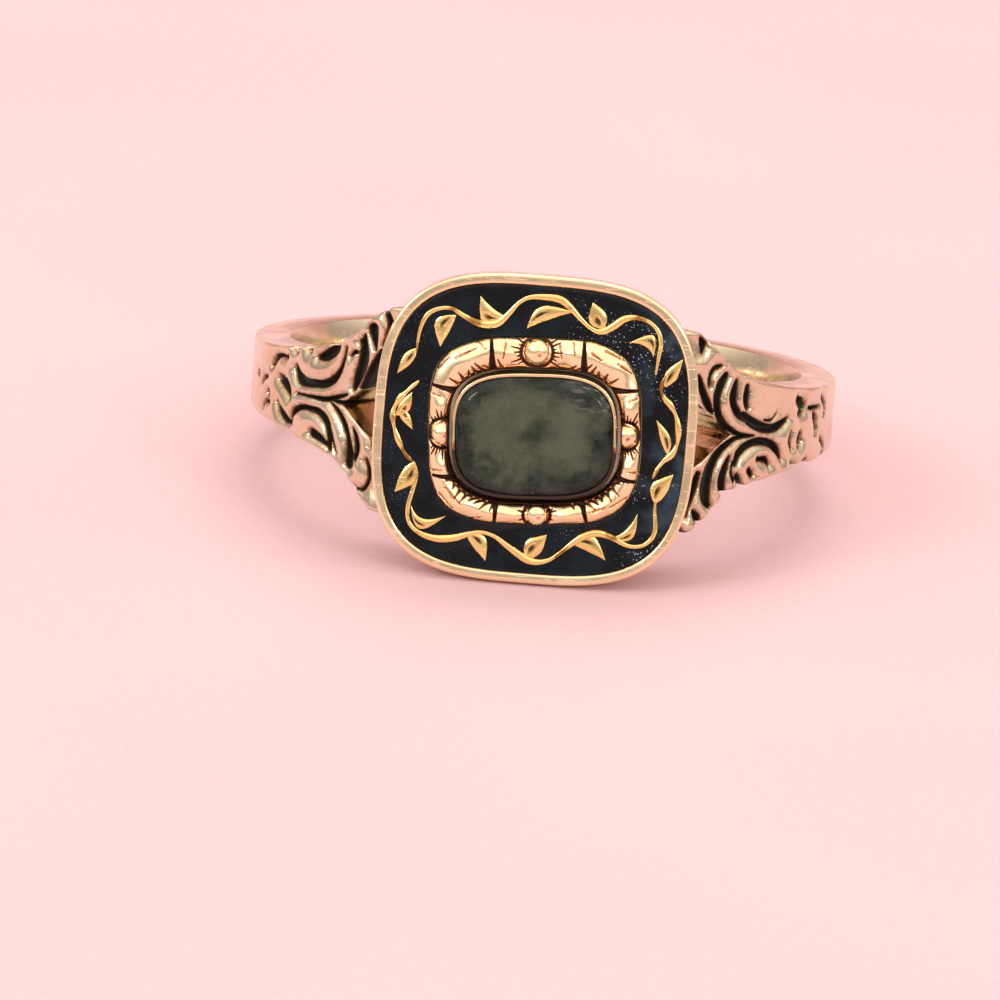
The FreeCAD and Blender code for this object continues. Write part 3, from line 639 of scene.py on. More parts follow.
def make_bar_tree():
    """A rounded bar: the path carries a rectangle with filleted corners."""
    tree, entry, leave, path = new_path_tree("bar along a path", (
        ("Width", "Float", 0.3), ("Thickness", "Float", 0.7), ("Corner", "Float", 0.05),
        ("Material", "Material")))
    section = add_node(tree, "GeometryNodeCurvePrimitiveQuadrilateral",
                       Width=entry["Width"], Height=entry["Thickness"])
    rounded = add_node(tree, "GeometryNodeFilletCurve", {"mode": "POLY"}, Curve=section.outputs[0],
                       Radius=entry["Corner"], Count=5)
    upright = add_node(tree, "GeometryNodeSetCurveNormal", {"mode": "Z_UP"}, Curve=path)
    sweep = add_node(tree, "GeometryNodeCurveToMesh", Curve=upright.outputs[0],
                     Profile_Curve=rounded.outputs[0])
    return close_tree(tree, entry, leave, sweep.outputs[0])


def make_stem_tree():
    """A tapering stem: a round section whose radius follows the path, then flattened."""
    tree, entry, leave, path = new_path_tree("flat stem along a path", (
        ("Flatness", "Float", 0.4), ("Sides", "Int", 12), ("Material", "Material")))
    half_width = add_node(tree, "GeometryNodeInputNamedAttribute", {"data_type": "FLOAT"},
                          Name="half_width")
    circle = add_node(tree, "GeometryNodeCurvePrimitiveCircle", Radius=1.0, Resolution=entry["Sides"])
    sweep = add_node(tree, "GeometryNodeCurveToMesh", Curve=path, Profile_Curve=circle.outputs[0],
                     Scale=half_width.outputs[0], Fill_Caps=True)
    squeeze = add_node(tree, "ShaderNodeCombineXYZ", X=1.0, Y=1.0, Z=entry["Flatness"])
    flat = add_node(tree, "GeometryNodeTransform", Geometry=sweep.outputs[0], Scale=squeeze.outputs[0])
    return close_tree(tree, entry, leave, flat.outputs[0])


bar_tree = make_bar_tree()
stem_tree = make_stem_tree()
print("trees", bar_tree.name, "and", stem_tree.name)


# %% Grow a mesh from paths, and lay it on the head's face
def path_mesh(name, paths, closed, half_widths=None):
    """Points and edges of one or more paths, as the seed that a tree grows from."""
    points, edges = [], []
    for path in paths:
        first, count = len(points), len(path)
        points.extend((float(x), float(y), 0.0) for x, y in path)
        edges.extend((first + k, first + (k + 1) % count) for k in range(count if closed else count - 1))
    mesh = bpy.data.meshes.new(name)
    mesh.from_pydata(points, edges, [])
    if half_widths is not None:
        layer = mesh.attributes.new("half_width", "FLOAT", "POINT")
        layer.data.foreach_set("value", np.float32(np.concatenate(half_widths)))
    return mesh


def grow(name, mesh, tree, values):
    """Runs a tree on a mesh and gives back the plain mesh it made."""
    carrier = link_object(name, mesh)
    modifier = carrier.modifiers.new("grow", "NODES")
    modifier.node_group = tree
    for item in tree.interface.items_tree:
        if item.item_type == "SOCKET" and item.in_out == "INPUT" and item.name in values:
            modifier[item.identifier] = values[item.name]
    bpy.context.view_layer.update()
    seen = carrier.evaluated_get(bpy.context.evaluated_depsgraph_get())
    grown = bpy.data.meshes.new_from_object(seen)
    carrier.modifiers.remove(modifier)
    bpy.data.objects.remove(carrier)
    return grown


def face_piece(name, mesh, out, turn, material, node, edge_angle=40.0, shade=None, drop=0.0):
    """Lays a mesh drawn on the head's face, in millimetres, onto the lying ring."""
    flat = np.zeros(len(mesh.vertices) * 3, dtype=np.float32)
    mesh.vertices.foreach_get("co", flat)
    x, z, height = flat.reshape(-1, 3).astype(float).T
    faces = [list(p.vertices) for p in mesh.polygons]
    oxide_and_shade = shade(x, z, height + out) if shade else None
    points = from_face(x, z - drop, height + out, turn)
    return finish_piece(name, build_mesh(name, points, faces, edge_angle, oxide_and_shade), material, node)


# %% The rim of the head
rim_width, rim_corner, rim_sides = 0.34, 0.09, 240
rim_path = np.column_stack(cushion(rim_half_x - 0.5 * rim_width, rim_half_z - 0.5 * rim_width,
                                   cushion_power, rim_sides))
rim_mesh = grow("rim", path_mesh("rim path", [rim_path], True), bar_tree,
                {"Width": rim_width, "Thickness": rim_plate_thickness, "Corner": rim_corner,
                 "Material": rim_gold})
rim = face_piece("rim", rim_mesh, -0.5 * rim_plate_thickness, 0.0, rim_gold, "hoop")
print("rim in mm", [round(1000 * v, 2) for v in rim.dimensions])

# %% [markdown]
# Under the rim sits the box of the head: its walls step in below the rim and its lower edge is rounded.
# A box like this is a stack of cushion outlines, each row a half width, a half height and a place along
# the head's axis, and the closing floor of the tray carries the enamel.

# %% The box under the rim
box_sides, box_round, box_neck = 160, 0.15, 0.10
tray_wall, rim_overlap = 0.20, 0.02


def stack_mesh(name, levels, power, sides):
    """Cushion outlines stacked along the head's axis and closed at both ends."""
    rings = []
    for half_x, half_z, out in levels:
        rings.append(np.column_stack([*cushion(half_x, half_z, power, sides), np.full(sides, out)]))
    points = np.concatenate(rings + [[(0.0, 0.0, levels[0][2]), (0.0, 0.0, levels[-1][2])]])
    faces = sheet_faces(len(levels), sides, wrap_columns=True).tolist()
    low, high = len(points) - 2, len(points) - 1
    last = (len(levels) - 1) * sides
    for i in range(sides):
        j = (i + 1) % sides
        faces.append([low, j, i])
        faces.append([high, last + i, last + j])
    mesh = bpy.data.meshes.new(name)
    mesh.from_pydata(points.tolist(), [], faces)
    return mesh


def rounded_levels(half_x, half_z, low, high, low_round, steps=5):
    """Levels of a box whose lower edge is a quarter circle."""
    turns = np.linspace(0.0, 0.5 * math.pi, steps)
    levels = []
    for inset, rise in zip(low_round * (1.0 - np.sin(turns)), low_round * (1.0 - np.cos(turns))):
        levels.append((half_x - inset, half_z - inset, low + rise))
    return levels + [(half_x, half_z, high)]


box_levels = rounded_levels(rim_half_x - box_inset, rim_half_z - box_inset, box_depth - face_depth,
                            -rim_plate_thickness - box_neck, box_round)
for out in (-rim_plate_thickness + rim_overlap, -field_sink):
    box_levels.append((rim_half_x - tray_wall, rim_half_z - tray_wall, out))
box_mesh = stack_mesh("head box", box_levels, cushion_power, box_sides)
face_piece("head_box", box_mesh, 0.0, 0.0, rose_gold, "hoop")

# %% [markdown]
# The scroll in the enamel is gold left standing: thin stems that wave round the face, with a leaf at each
# turn. The stems grow along smooth paths with tapered ends. A leaf is a dome between two bowed edges, and
# the engraver has cut one short dark stroke near its root. A stem's row is its width and then its points,
# and a leaf's is its root, its tip, and how far its outer and inner edges bow.

# %% The stems of the scroll
STEMS = (
    (0.16, ((-4.08, 2.30), (-4.02, 3.00), (-3.83, 3.50), (-3.50, 3.74), (-3.04, 3.80), (-2.60, 3.58),
            (-2.10, 3.38), (-1.55, 3.40), (-1.19, 3.72), (-0.85, 4.15), (-0.50, 4.37), (0.00, 4.42),
            (0.50, 4.38), (0.85, 4.15), (1.25, 3.77), (1.60, 3.50), (1.95, 3.42), (2.30, 3.62),
            (2.65, 3.90), (3.05, 3.98), (3.50, 3.86), (3.80, 3.58), (3.92, 3.20), (3.88, 2.75),
            (3.83, 2.15))),
    (0.14, ((4.20, 2.20), (4.04, 1.76), (4.16, 1.42), (4.40, 1.17), (4.60, 0.84), (4.72, 0.40),
            (4.72, -0.04), (4.58, -0.43), (4.31, -0.70), (4.12, -0.99), (4.00, -1.30))),
    (0.16, ((4.15, -1.95), (4.16, -2.40), (4.22, -2.92), (4.12, -3.30), (3.82, -3.56), (3.37, -3.60),
            (2.83, -3.37), (2.31, -3.26), (1.88, -3.41), (1.53, -3.67), (1.18, -3.99), (0.84, -4.26),
            (0.47, -4.38), (0.10, -4.34), (-0.29, -4.12), (-0.67, -3.88), (-1.07, -3.63),
            (-1.51, -3.54), (-1.95, -3.65), (-2.38, -3.80), (-2.89, -3.87), (-3.34, -3.80),
            (-3.73, -3.60), (-3.94, -3.29), (-3.97, -2.85), (-3.86, -2.32), (-3.76, -1.80),
            (-3.86, -1.42))),
    (0.14, ((-3.95, -1.35), (-4.21, -1.12), (-4.47, -0.65), (-4.66, -0.14), (-4.69, 0.30),
            (-4.50, 0.69), (-4.23, 1.01), (-3.92, 1.32))))

LEAVES = (
    (-4.08, 2.40, -4.66, 1.50, 0.14, -0.16), (-2.85, 3.60, -3.31, 2.49, -0.42, 0.02),
    (-1.25, 3.70, -2.12, 4.30, 0.50, 0.06), (-0.52, 3.32, 1.00, 4.00, 0.42, 0.04),
    (2.00, 3.50, 1.58, 4.38, 0.27, -0.20), (3.70, 2.70, 2.88, 3.14, -0.50, -0.14),
    (4.14, 1.75, 4.68, 2.74, 0.18, -0.15), (4.42, -0.48, 3.97, 0.66, -0.22, 0.06),
    (4.14, -2.15, 4.68, -1.10, 0.34, -0.10), (2.75, -3.36, 3.60, -2.50, -0.42, -0.12),
    (1.50, -3.70, 2.68, -4.16, 0.44, 0.02), (0.02, -4.28, 0.68, -3.44, 0.27, -0.20),
    (-2.00, -3.64, -1.28, -4.50, 0.36, -0.04), (-3.88, -2.80, -2.68, -3.08, -0.56, -0.26),
    (-3.88, -1.35, -4.46, -2.44, 0.32, -0.12), (-4.60, 0.10, -4.12, 0.94, -0.22, 0.10),
    (-4.55, 0.36, -4.00, -0.32, 0.16, -0.10))

stem_tip, stem_taper, stem_flatness, stem_sides, stem_steps = 0.30, 6.0, 0.55, 12, 5
stem_paths = [smooth(path, stem_steps) for width, path in STEMS]
stem_widths = []
for (width, path), curve in zip(STEMS, stem_paths):
    t = np.linspace(0.0, 1.0, len(curve))
    taper = stem_tip + (1.0 - stem_tip) * np.minimum(1.0, stem_taper * np.minimum(t, 1.0 - t))
    sway = 1.25 + 0.40 * np.sin(9.0 * math.pi * t)
    stem_widths.append(0.5 * width * taper * sway)
stem_mesh = grow("scroll stems", path_mesh("stem paths", stem_paths, False, stem_widths), stem_tree,
                 {"Flatness": stem_flatness, "Sides": stem_sides, "Material": scroll_gold})


def stem_shade(x, z, out):
    """Brown wears into the stems in soft stretches, set by slow waves across the face."""
    stretch = np.sin(2.3 * x + 1.1) * np.cos(2.0 * z - 0.6) + 0.5 * np.sin(5.1 * x - 3.7 * z)
    return 0.44 * smoothstep(stretch, 0.15, 0.95)


face_piece("scroll_stems", stem_mesh, -enamel_below_rim, 0.0, scroll_gold, "hoop", 60.0,
           stem_shade)

# %% The leaves of the scroll
leaf_fullness, leaf_height, leaf_base = 1.22, 0.055, -0.08
stroke_cut, leaf_sink, leaf_lift = 0.035, 0.02, 0.01
leaf_steps, leaf_columns = 18, 10


def leaf_sheet(root_x, root_z, tip_x, tip_z, outer, inner):
    """One domed leaf: its points, and how deep the engraver's stroke is at each."""
    along_x, along_z = tip_x - root_x, tip_z - root_z
    length = math.hypot(along_x, along_z)
    t = np.linspace(0.0, 1.0, leaf_steps + 1)[:, None]
    u = np.linspace(0.0, 1.0, leaf_columns + 1)[None, :]
    bow = 4.0 * t * (1.0 - t) * (1.35 - 0.7 * t)
    side = bow * leaf_fullness * (inner + (outer - inner) * u)
    x = root_x + along_x * t - along_z / length * side
    z = root_z + along_z * t + along_x / length * side
    stroke = np.exp(-((t - 0.34) / 0.16) ** 2) * np.exp(-((u - 0.55) / 0.12) ** 2) * (t > 0.0) * (t < 1.0)
    swell = np.sqrt(np.clip(4.0 * u * (1.0 - u), 0.0, 1.0) * np.clip(4.0 * t * (1.0 - t), 0.0, 1.0))
    return np.stack([x, z, leaf_height * swell - stroke_cut * stroke - leaf_sink], -1), stroke


def make_leaves():
    """Each leaf is a domed sheet over a flat one, sewn together round the edge."""
    ids = np.arange((leaf_steps + 1) * (leaf_columns + 1)).reshape(leaf_steps + 1, leaf_columns + 1)
    grid = sheet_faces(*ids.shape)
    edge = np.concatenate([ids[0, :], ids[1:, -1], ids[-1, -2::-1], ids[-2:0:-1, 0]])
    edge_next = np.roll(edge, -1)
    sewn = np.stack([edge, edge_next, ids.size + edge_next, ids.size + edge], -1)
    leaf_faces = np.concatenate([grid, ids.size + grid[:, ::-1], sewn])
    points, faces, mask = [], [], []
    for number, row in enumerate(LEAVES):
        sheet, stroke = leaf_sheet(*row)
        base = sheet.copy()
        base[..., 2] = leaf_base
        points += [sheet.reshape(-1, 3), base.reshape(-1, 3)]
        mask += [stroke.ravel(), np.zeros(ids.size)]
        faces += (2 * ids.size * number + leaf_faces).tolist()
    x, z, out = np.concatenate(points).T
    lying = from_face(x, z, out - enamel_below_rim + leaf_lift)
    return build_mesh("scroll leaves", lying, faces, 50.0, np.concatenate(mask))


finish_piece("scroll_leaves", make_leaves(), scroll_gold, "hoop")

# %% [markdown]
# The enamel is glass fired into the tray. It is black with a little blue, it sinks a hair between the
# gold walls, and its surface is not quite flat, so its reflections waver. Two centuries have left pits
# and scratches in it, which catch the light as white specks.

# %% The enamel's surface
enamel_columns, enamel_rows = 320, 28
enamel_hollow, meniscus_rise, meniscus_reach = 0.016, 0.012, 0.05


def polar_sheet(outer, inner, columns, rows, inner_turn=0.0, inner_drop=0.0):
    """A sheet between two cushion outlines: across, up, and the share of the way to the inner one."""
    outer_x, outer_z = cushion(*outer, columns)
    inner_x, inner_z = turned(*cushion(*inner, columns), inner_turn)
    t = np.linspace(0.0, 1.0, rows + 1)[:, None]
    x = outer_x + (inner_x - outer_x) * t
    z = outer_z + (inner_z - inner_drop - outer_z) * t
    return x, z, np.broadcast_to(t, x.shape)


def closed_ring(x, z, out):
    """Points and faces of a ring whose sides drop from a polar sheet to a flat base in the tray."""
    top = np.stack([x, z, out], -1)
    feet = top[[0, -1]].copy()
    feet[..., 2] = -field_sink + piece_gap
    loop = np.concatenate([feet[:1], top, feet[1:]])
    faces = sheet_faces(*loop.shape[:2], wrap_rows=True, wrap_columns=True).tolist()
    return loop.reshape(-1, 3).T, faces


across, up, share = polar_sheet((field_half_x - piece_gap, field_half_z - piece_gap, cushion_power),
                                (frame_half_x + piece_gap, frame_half_z + piece_gap, frame_power),
                                enamel_columns, enamel_rows, inner_turn=frame_turn)
# Two slow waves of a few thousandths of a millimetre keep the enamel from lying perfectly flat
waver = 0.006 * np.sin(2.1 * across + 0.7) * np.cos(1.7 * up) + 0.004 * np.sin(4.3 * up - 1.9 * across)
meniscus = meniscus_rise * (np.exp(-share / meniscus_reach) + np.exp(-(1.0 - share) / meniscus_reach))
enamel_points, enamel_faces = closed_ring(across, up, waver + meniscus - enamel_below_rim - enamel_hollow)


# %% The enamel's finish
def axis(tree, place, name):
    return add_node(tree, "ShaderNodeSeparateXYZ", Vector=place).outputs[name]


def make_enamel_material():
    material, tree, shader, place = new_material("black enamel")
    depth = noise(tree, place, 900.0, 3.0)
    black = blend_colours(tree, remap(tree, depth, 0.40, 0.62), (0.0022, 0.0024, 0.0036),
                          (0.0040, 0.0085, 0.0150))
    # The right side is the more worn, with most of the pits; a pale painted reflection of the bright right
    # side lies along the frame there
    sideways = axis(tree, place, "X")
    worn_share = maths(tree, "MULTIPLY", remap(tree, noise(tree, place, 500.0, 4.0), 0.50, 0.64),
                       remap(tree, sideways, -0.001, 0.0045, 0.12, 1.0))
    pits = add_node(tree, "ShaderNodeTexVoronoi", Vector=place, Scale=9500.0).outputs["Distance"]
    pit = maths(tree, "MULTIPLY", remap(tree, pits, 0.26, 0.12), worn_share)
    painted_reflection = maths(tree, "MULTIPLY", remap(tree, sideways, 0.0030, 0.0043),
                  remap(tree, depth, 0.42, 0.60, 0.0, 0.8))
    colour = blend_colours(tree, painted_reflection, black, (0.030, 0.050, 0.075))
    colour = blend_colours(tree, pit, colour, (0.42, 0.48, 0.56))
    dullness, dents = worn(tree, place, Patches_per_mm=0.8, Scratches_per_mm=14.0)
    rough = maths(tree, "ADD", remap(tree, dullness, 0.0, 1.0, 0.05, 0.20),
                  maths(tree, "MULTIPLY", pit, 0.4), clamp=True)
    height = maths(tree, "SUBTRACT", maths(tree, "MULTIPLY", dents, 0.3), pit)
    feed_node(tree, shader, Base_Color=colour, Roughness=rough, IOR=1.45, Specular_IOR_Level=0.36,
              Normal=bumps(tree, height, 0.003))
    return material


enamel_mesh = build_mesh("enamel", from_face(*enamel_points), enamel_faces, 50.0)
finish_piece("enamel_plate", enamel_mesh, make_enamel_material(), "enamel_border")

# %% [markdown]
# The chased frame stands round the glass. Four round flowers sit at the middle of its sides, smooth
# leaves fill its corners, and fans of short strokes run out from each flower. All this is one more height
# over a sheet, this time between the frame's outer and inner outlines. The strokes are real cuts, so they
# glint, and the mask sends dark oxide into them.

# %% Tables of the chased frame
# Flowers: place, radius, rise
BOSSES = ((0.05, 2.64, 0.46, 0.46), (-3.00, -0.10, 0.43, 0.44), (3.00, -0.08, 0.41, 0.42),
          (0.12, -2.76, 0.38, 0.38))
# Small domed petals beside the flowers: place, radius, rise
PETALS = ((-3.02, 0.80, 0.42, 0.10), (-2.96, -1.15, 0.46, 0.12), (3.00, 0.84, 0.44, 0.12),
          (2.98, -1.10, 0.46, 0.12), (-0.86, 2.58, 0.40, 0.08), (1.02, 2.58, 0.42, 0.08),
          (-0.70, -2.78, 0.34, 0.07), (1.02, -2.78, 0.36, 0.07), (-2.35, 2.28, 0.70, 0.08),
          (2.45, 2.20, 0.70, 0.08), (-2.30, -2.45, 0.62, 0.07), (2.45, -2.45, 0.62, 0.07))
# Notches between the leaves, from the inner edge to the outer one
NOTCHES = ((-1.40, 2.05, -1.46, 3.08), (1.60, 2.05, 1.60, 3.05), (-1.20, -2.05, -1.28, -3.08),
           (1.55, -2.05, 1.78, -3.05), (-2.62, 1.30, -3.40, 1.52), (-2.50, -1.60, -3.30, -1.50),
           (2.50, 1.40, 3.40, 1.42), (2.60, -1.45, 3.40, -1.62))
# Fine veins on the corner leaves and lobes, from their strong end to their thin end
VEINS = ((-2.95, 2.62, -2.30, 2.92), (-2.62, 2.40, -1.95, 2.74), (-3.20, 2.05, -2.82, 2.42),
         (-1.90, 2.96, -1.62, 2.70), (2.05, 2.98, 2.62, 2.78), (2.30, 2.72, 2.92, 2.42),
         (2.72, 2.30, 3.18, 1.98), (1.86, 2.62, 2.20, 2.40), (-3.10, -2.10, -2.60, -2.62),
         (-2.90, -1.90, -2.35, -2.48), (-2.30, -2.98, -1.70, -2.86), (2.20, -2.98, 2.80, -2.72),
         (2.55, -2.44, 3.10, -2.10), (1.98, -2.62, 2.40, -2.42), (-0.98, 2.92, -1.06, 2.40),
         (0.80, 2.90, 0.88, 2.44), (1.26, 2.96, 1.30, 2.52), (-3.36, 1.20, -3.06, 1.12),
         (3.36, 1.16, 3.08, 1.06), (-3.34, -1.34, -3.02, -1.30), (3.36, -1.30, 3.06, -1.24))
# Fans of strokes: middle, nearest and farthest reach, first and last direction in degrees, how many
FANS = ((0.05, 2.64, 0.56, 0.90, -34, 34, 7), (0.05, 2.64, 0.56, 0.90, 146, 214, 7),
        (-3.00, -0.10, 0.50, 0.86, 52, 128, 8), (-3.00, -0.10, 0.50, 0.86, 232, 308, 9),
        (3.00, -0.08, 0.48, 0.84, 52, 128, 8), (3.00, -0.08, 0.48, 0.84, 232, 308, 9),
        (0.12, -2.76, 0.40, 0.58, 22, 158, 8), (0.12, -2.76, 0.46, 0.66, 166, 196, 3),
        (0.12, -2.76, 0.46, 0.66, -16, 14, 3))
# Strokes on the corner leaves, along the inner edge: first and last bearing in degrees, how many
CORNER_STROKES = ((36, 62, 7), (116, 146, 8), (208, 240, 8), (300, 332, 8))
# Each kind of stroke: half its width, its depth, how dark it is, and how far the dark spreads
CUTS = {"notch": (0.11, 0.17, 0.95, 0.6), "vein": (0.055, 0.06, 0.44, 1.0),
        "fan": (0.040, 0.075, 0.80, 1.0), "corner": (0.050, 0.07, 0.75, 1.0)}
print("petals, notches and veins", len(PETALS), len(NOTCHES), len(VEINS))


# %% Lists of the frame's strokes
corner_inset = 0.36


def fan_strokes():
    for k, (mid_x, mid_z, near, far, first, last, count) in enumerate(FANS):
        for i, angle in enumerate(np.radians(np.linspace(first, last, count))):
            c, s = math.cos(angle), math.sin(angle)
            reach = far * (0.86 + 0.14 * math.cos(2.3 * i + k))
            yield mid_x + near * c, mid_z + near * s, mid_x + reach * c, mid_z + reach * s


def corner_strokes():
    """Leaning strokes of uneven length that start on an outline just outside the glass."""
    outline = (glass_half_x + corner_inset, glass_half_z + corner_inset, glass_power)
    for k, (first, last, count) in enumerate(CORNER_STROKES):
        for i, angle in enumerate(np.radians(np.linspace(first, last, count))):
            c, s = math.cos(angle), math.sin(angle)
            start = 1.0 / cushion_reach(c, s, *outline)
            end = start + 0.24 + 0.12 * math.cos(1.7 * i + k)
            lean = 0.10 * math.sin(0.9 * i)
            yield (start * c, start * s - window_drop,
                   end * c - lean * s, end * s + lean * c - window_drop)


all_strokes = [("notch", row) for row in NOTCHES] + [("vein", row) for row in VEINS]
all_strokes += [("fan", row) for row in fan_strokes()] + [("corner", row) for row in corner_strokes()]
print("strokes on the frame", len(all_strokes))

# %% The heights of the chased frame
frame_outer_rise, frame_inner_rise, frame_crown, frame_fullness = 0.28, 0.20, 0.28, 0.7
boss_foot, boss_sink = 0.10, 0.05
boss_seam, boss_groove_width, boss_groove_depth = 0.05, 0.055, 0.12
dimple_x, dimple_z, dimple_reach, dimple_depth = 0.08, -0.06, 0.10, 0.03
bead_x, bead_z, bead_radius, bead_foot = -2.80, -0.42, 0.16, 0.42
edge_fall, seam_dark, seam_reach = 0.08, 1.35, 0.07
frame_columns, frame_rows = 840, 50


def stroke_depth(x, z, x0, z0, x1, z1, half_width):
    """How deep a graver's stroke is at each point, from 0 to 1: it starts wide and ends thin."""
    dx, dz = x1 - x0, z1 - z0
    t = np.clip(((x - x0) * dx + (z - z0) * dz) / (dx * dx + dz * dz), 0.0, 1.0)
    d = np.hypot(x - x0 - t * dx, z - z0 - t * dz) / (half_width * (1.15 - 0.75 * t))
    return np.clip(1.0 - d ** 2, 0.0, 1.0)


def dome(distance, radius):
    return np.sqrt(np.clip(1.0 - (distance / radius) ** 2, 0.0, 1.0))


def frame_surface(x, z, t):
    """The frame's height at each point of its sheet, and its mask of hollows."""
    rise = frame_outer_rise + t * (frame_inner_rise - frame_outer_rise)
    rise = rise + frame_crown * np.sin(math.pi * t).clip(0.0) ** frame_fullness
    # Slow waves, as the hammer leaves them
    rise = rise + 0.03 * np.sin(2.6 * x + 0.4) * np.sin(2.9 * z) + 0.02 * np.sin(5.3 * x - 3.1 * z)
    dark = np.zeros(x.shape)
    for petal_x, petal_z, radius, top in PETALS:
        rise = rise + top * np.exp(-((x - petal_x) ** 2 + (z - petal_z) ** 2) / (0.6 * radius) ** 2)
    for kind, row in all_strokes:
        half_width, depth, shade, spread = CUTS[kind]
        cut = stroke_depth(x, z, *row, half_width)
        rise = rise - depth * cut
        dark = np.maximum(dark, shade * cut ** spread)
    for boss_x, boss_z, radius, top in BOSSES:
        d = np.hypot(x - boss_x, z - boss_z)
        dimple = np.exp(-(np.hypot(x - boss_x - dimple_x, z - boss_z - dimple_z) / dimple_reach) ** 2)
        button = frame_inner_rise + boss_foot + top * dome(d, radius) - dimple_depth * dimple
        groove = np.exp(-((d - radius - boss_seam) / boss_groove_width) ** 2)
        beside = rise - boss_groove_depth * groove
        rise = np.where(d < radius, np.maximum(rise - boss_sink, button), beside)
        dark = np.where(d < radius, 0.45 * dimple, np.maximum(dark, 0.85 * groove))
    d = np.hypot(x - bead_x, z - bead_z)
    bead = bead_foot + bead_radius * dome(d, bead_radius)
    rise = np.where(d < bead_radius, np.maximum(rise, bead), rise)
    edge_drop = edge_fall * (np.exp(-t / 0.03) + np.exp(-(1.0 - t) / 0.04))
    dark = np.maximum(dark, seam_dark * np.exp(-(1.0 - t) / seam_reach))
    return rise - edge_drop, dark


well_inset = piece_gap + collet_wall + well_gap
across, up, share = polar_sheet((frame_half_x, frame_half_z, frame_power),
                                (glass_half_x + well_inset, glass_half_z + well_inset, glass_power),
                                frame_columns, frame_rows, inner_drop=window_drop)
frame_out, frame_dark = frame_surface(across, up, share)
frame_points, frame_faces = closed_ring(across, up, frame_out)
frame_mask = np.pad(frame_dark, ((1, 1), (0, 0)), constant_values=((0.0, seam_dark), (0.0, 0.0))).ravel()
frame_mesh = build_mesh("chased frame", from_face(*frame_points, frame_turn), frame_faces, 60.0,
                        frame_mask)
finish_piece("chased_border", frame_mesh, frame_gold, "chased_frame")

# %% [markdown]
# The glass sits in a collet, a thin upright wall rubbed over its edge. The collet is the same bar tree as
# the rim with other numbers. The glass is a low cushion with a bevel round a flat table. It is old and
# scratched, and under it the hair shows only as a dark olive depth.

# %% The collet
collet_top, collet_corner, collet_sides = 0.42, 0.045, 200
collet_height = collet_top + field_sink - piece_gap
collet_middle = piece_gap + 0.5 * collet_wall
collet_path = np.column_stack(cushion(glass_half_x + collet_middle, glass_half_z + collet_middle,
                                      glass_power, collet_sides))
collet_mesh = grow("collet", path_mesh("collet path", [collet_path], True), bar_tree,
                   {"Width": collet_wall, "Thickness": collet_height, "Corner": collet_corner,
                    "Material": frame_gold})


def collet_shade(x, z, out):
    """Painted shade: the wall is darkened in the well below its edge, and all the way up along its lower
    side.
    """
    return np.maximum(1.3 * smoothstep(collet_top - out, 0.05, 0.10), smoothstep(-z, -0.1, 0.9))


face_piece("collet_wall", collet_mesh, collet_top - 0.5 * collet_height, frame_turn, frame_gold,
           "collet", 40.0, collet_shade, window_drop)

# %% The glass
glass_foot, girdle_top, girdle_rise, table_rise = -0.15, 0.34, 0.38, 0.58
bevel_width, bevel_steps, glass_sides = 0.30, 7, 128
glass_levels = [(0.0, glass_foot), (0.0, girdle_top)]
for b in np.linspace(0.0, 1.0, bevel_steps):
    rise = (table_rise - girdle_rise) * math.sin(0.5 * math.pi * b)
    glass_levels.append((bevel_width * b, girdle_rise + rise))
glass_levels += [(inset, table_rise) for inset in (0.36, 0.7, 1.2)]
glass_levels = [(glass_half_x - inset, glass_half_z - inset, out) for inset, out in glass_levels]


def make_glass_material():
    material, tree, shader, place = new_material("old glass")
    cloudy = remap(tree, noise(tree, place, 620.0, 5.0, 0.62), 0.0, 1.0, 0.15, 0.85)
    # Painted shade: the glass is darker towards its edge, where the collet wall shades what lies below it
    depth = maths(tree, "ADD", cloudy, maths(tree, "MULTIPLY", mesh_mask(tree), -0.27))
    colour = blend_colours(tree, remap(tree, depth, 0.27, 0.52), (0.001, 0.010, 0.007),
                           (0.086, 0.104, 0.068))
    grain = noise(tree, place, 16000.0, 3.0)
    colour = blend_colours(tree, remap(tree, grain, 0.46, 0.72, 0.0, 0.30), colour, (0.17, 0.16, 0.10))
    dullness, dents = worn(tree, place, Patches_per_mm=1.3, Scratches_per_mm=10.0)
    colour = blend_colours(tree, maths(tree, "MULTIPLY", dullness, 0.28), colour, (0.20, 0.22, 0.17))
    # Slanting scratches in the upper right corner: real wear, painted white only there as the glint they
    # catch
    corner = maths(tree, "MULTIPLY", remap(tree, axis(tree, place, "X"), 0.0005, 0.0018),
                   remap(tree, axis(tree, place, "Z"), 0.0055, 0.0066))
    rubbed = noise(tree, stretched(tree, place, (0.0, 0.7, 0.0), (0.25, 1.0, 1.0)), 7000.0, 6.0)
    white = maths(tree, "MULTIPLY", corner, remap(tree, rubbed, 0.46, 0.74, 0.0, 0.55))
    colour = blend_colours(tree, white, colour, (0.42, 0.46, 0.43))
    feed_node(tree, shader, Base_Color=colour, Roughness=remap(tree, dullness, 0.0, 1.0, 0.10, 0.32),
              IOR=1.50, Specular_IOR_Level=0.4, Alpha=0.62, Normal=bumps(tree, dents, 0.002))
    return material


def glass_edge(x, z, out):
    """How near a point of the glass is to its outline, from 0 in the middle to 1 at the edge; the glass is
    painted darker there as shade.
    """
    return smoothstep(cushion_reach(x, z, glass_half_x, glass_half_z, glass_power), 0.45, 1.0)


glass_mesh = stack_mesh("glass", glass_levels, glass_power, glass_sides)
face_piece("glass", glass_mesh, 0.0, frame_turn, make_glass_material(), "crystal", 30.0,
           glass_edge, window_drop)

# %% [markdown]
# Under the glass lies a flat plait of hair on a thin bed. Each lock is a flattened strand that slants
# across the window, rising and dipping, and the locks of two layers slant opposite ways, so they cross
# like a plait. The strands are few and short, so plain arrays make them, trimmed to the glass's outline.

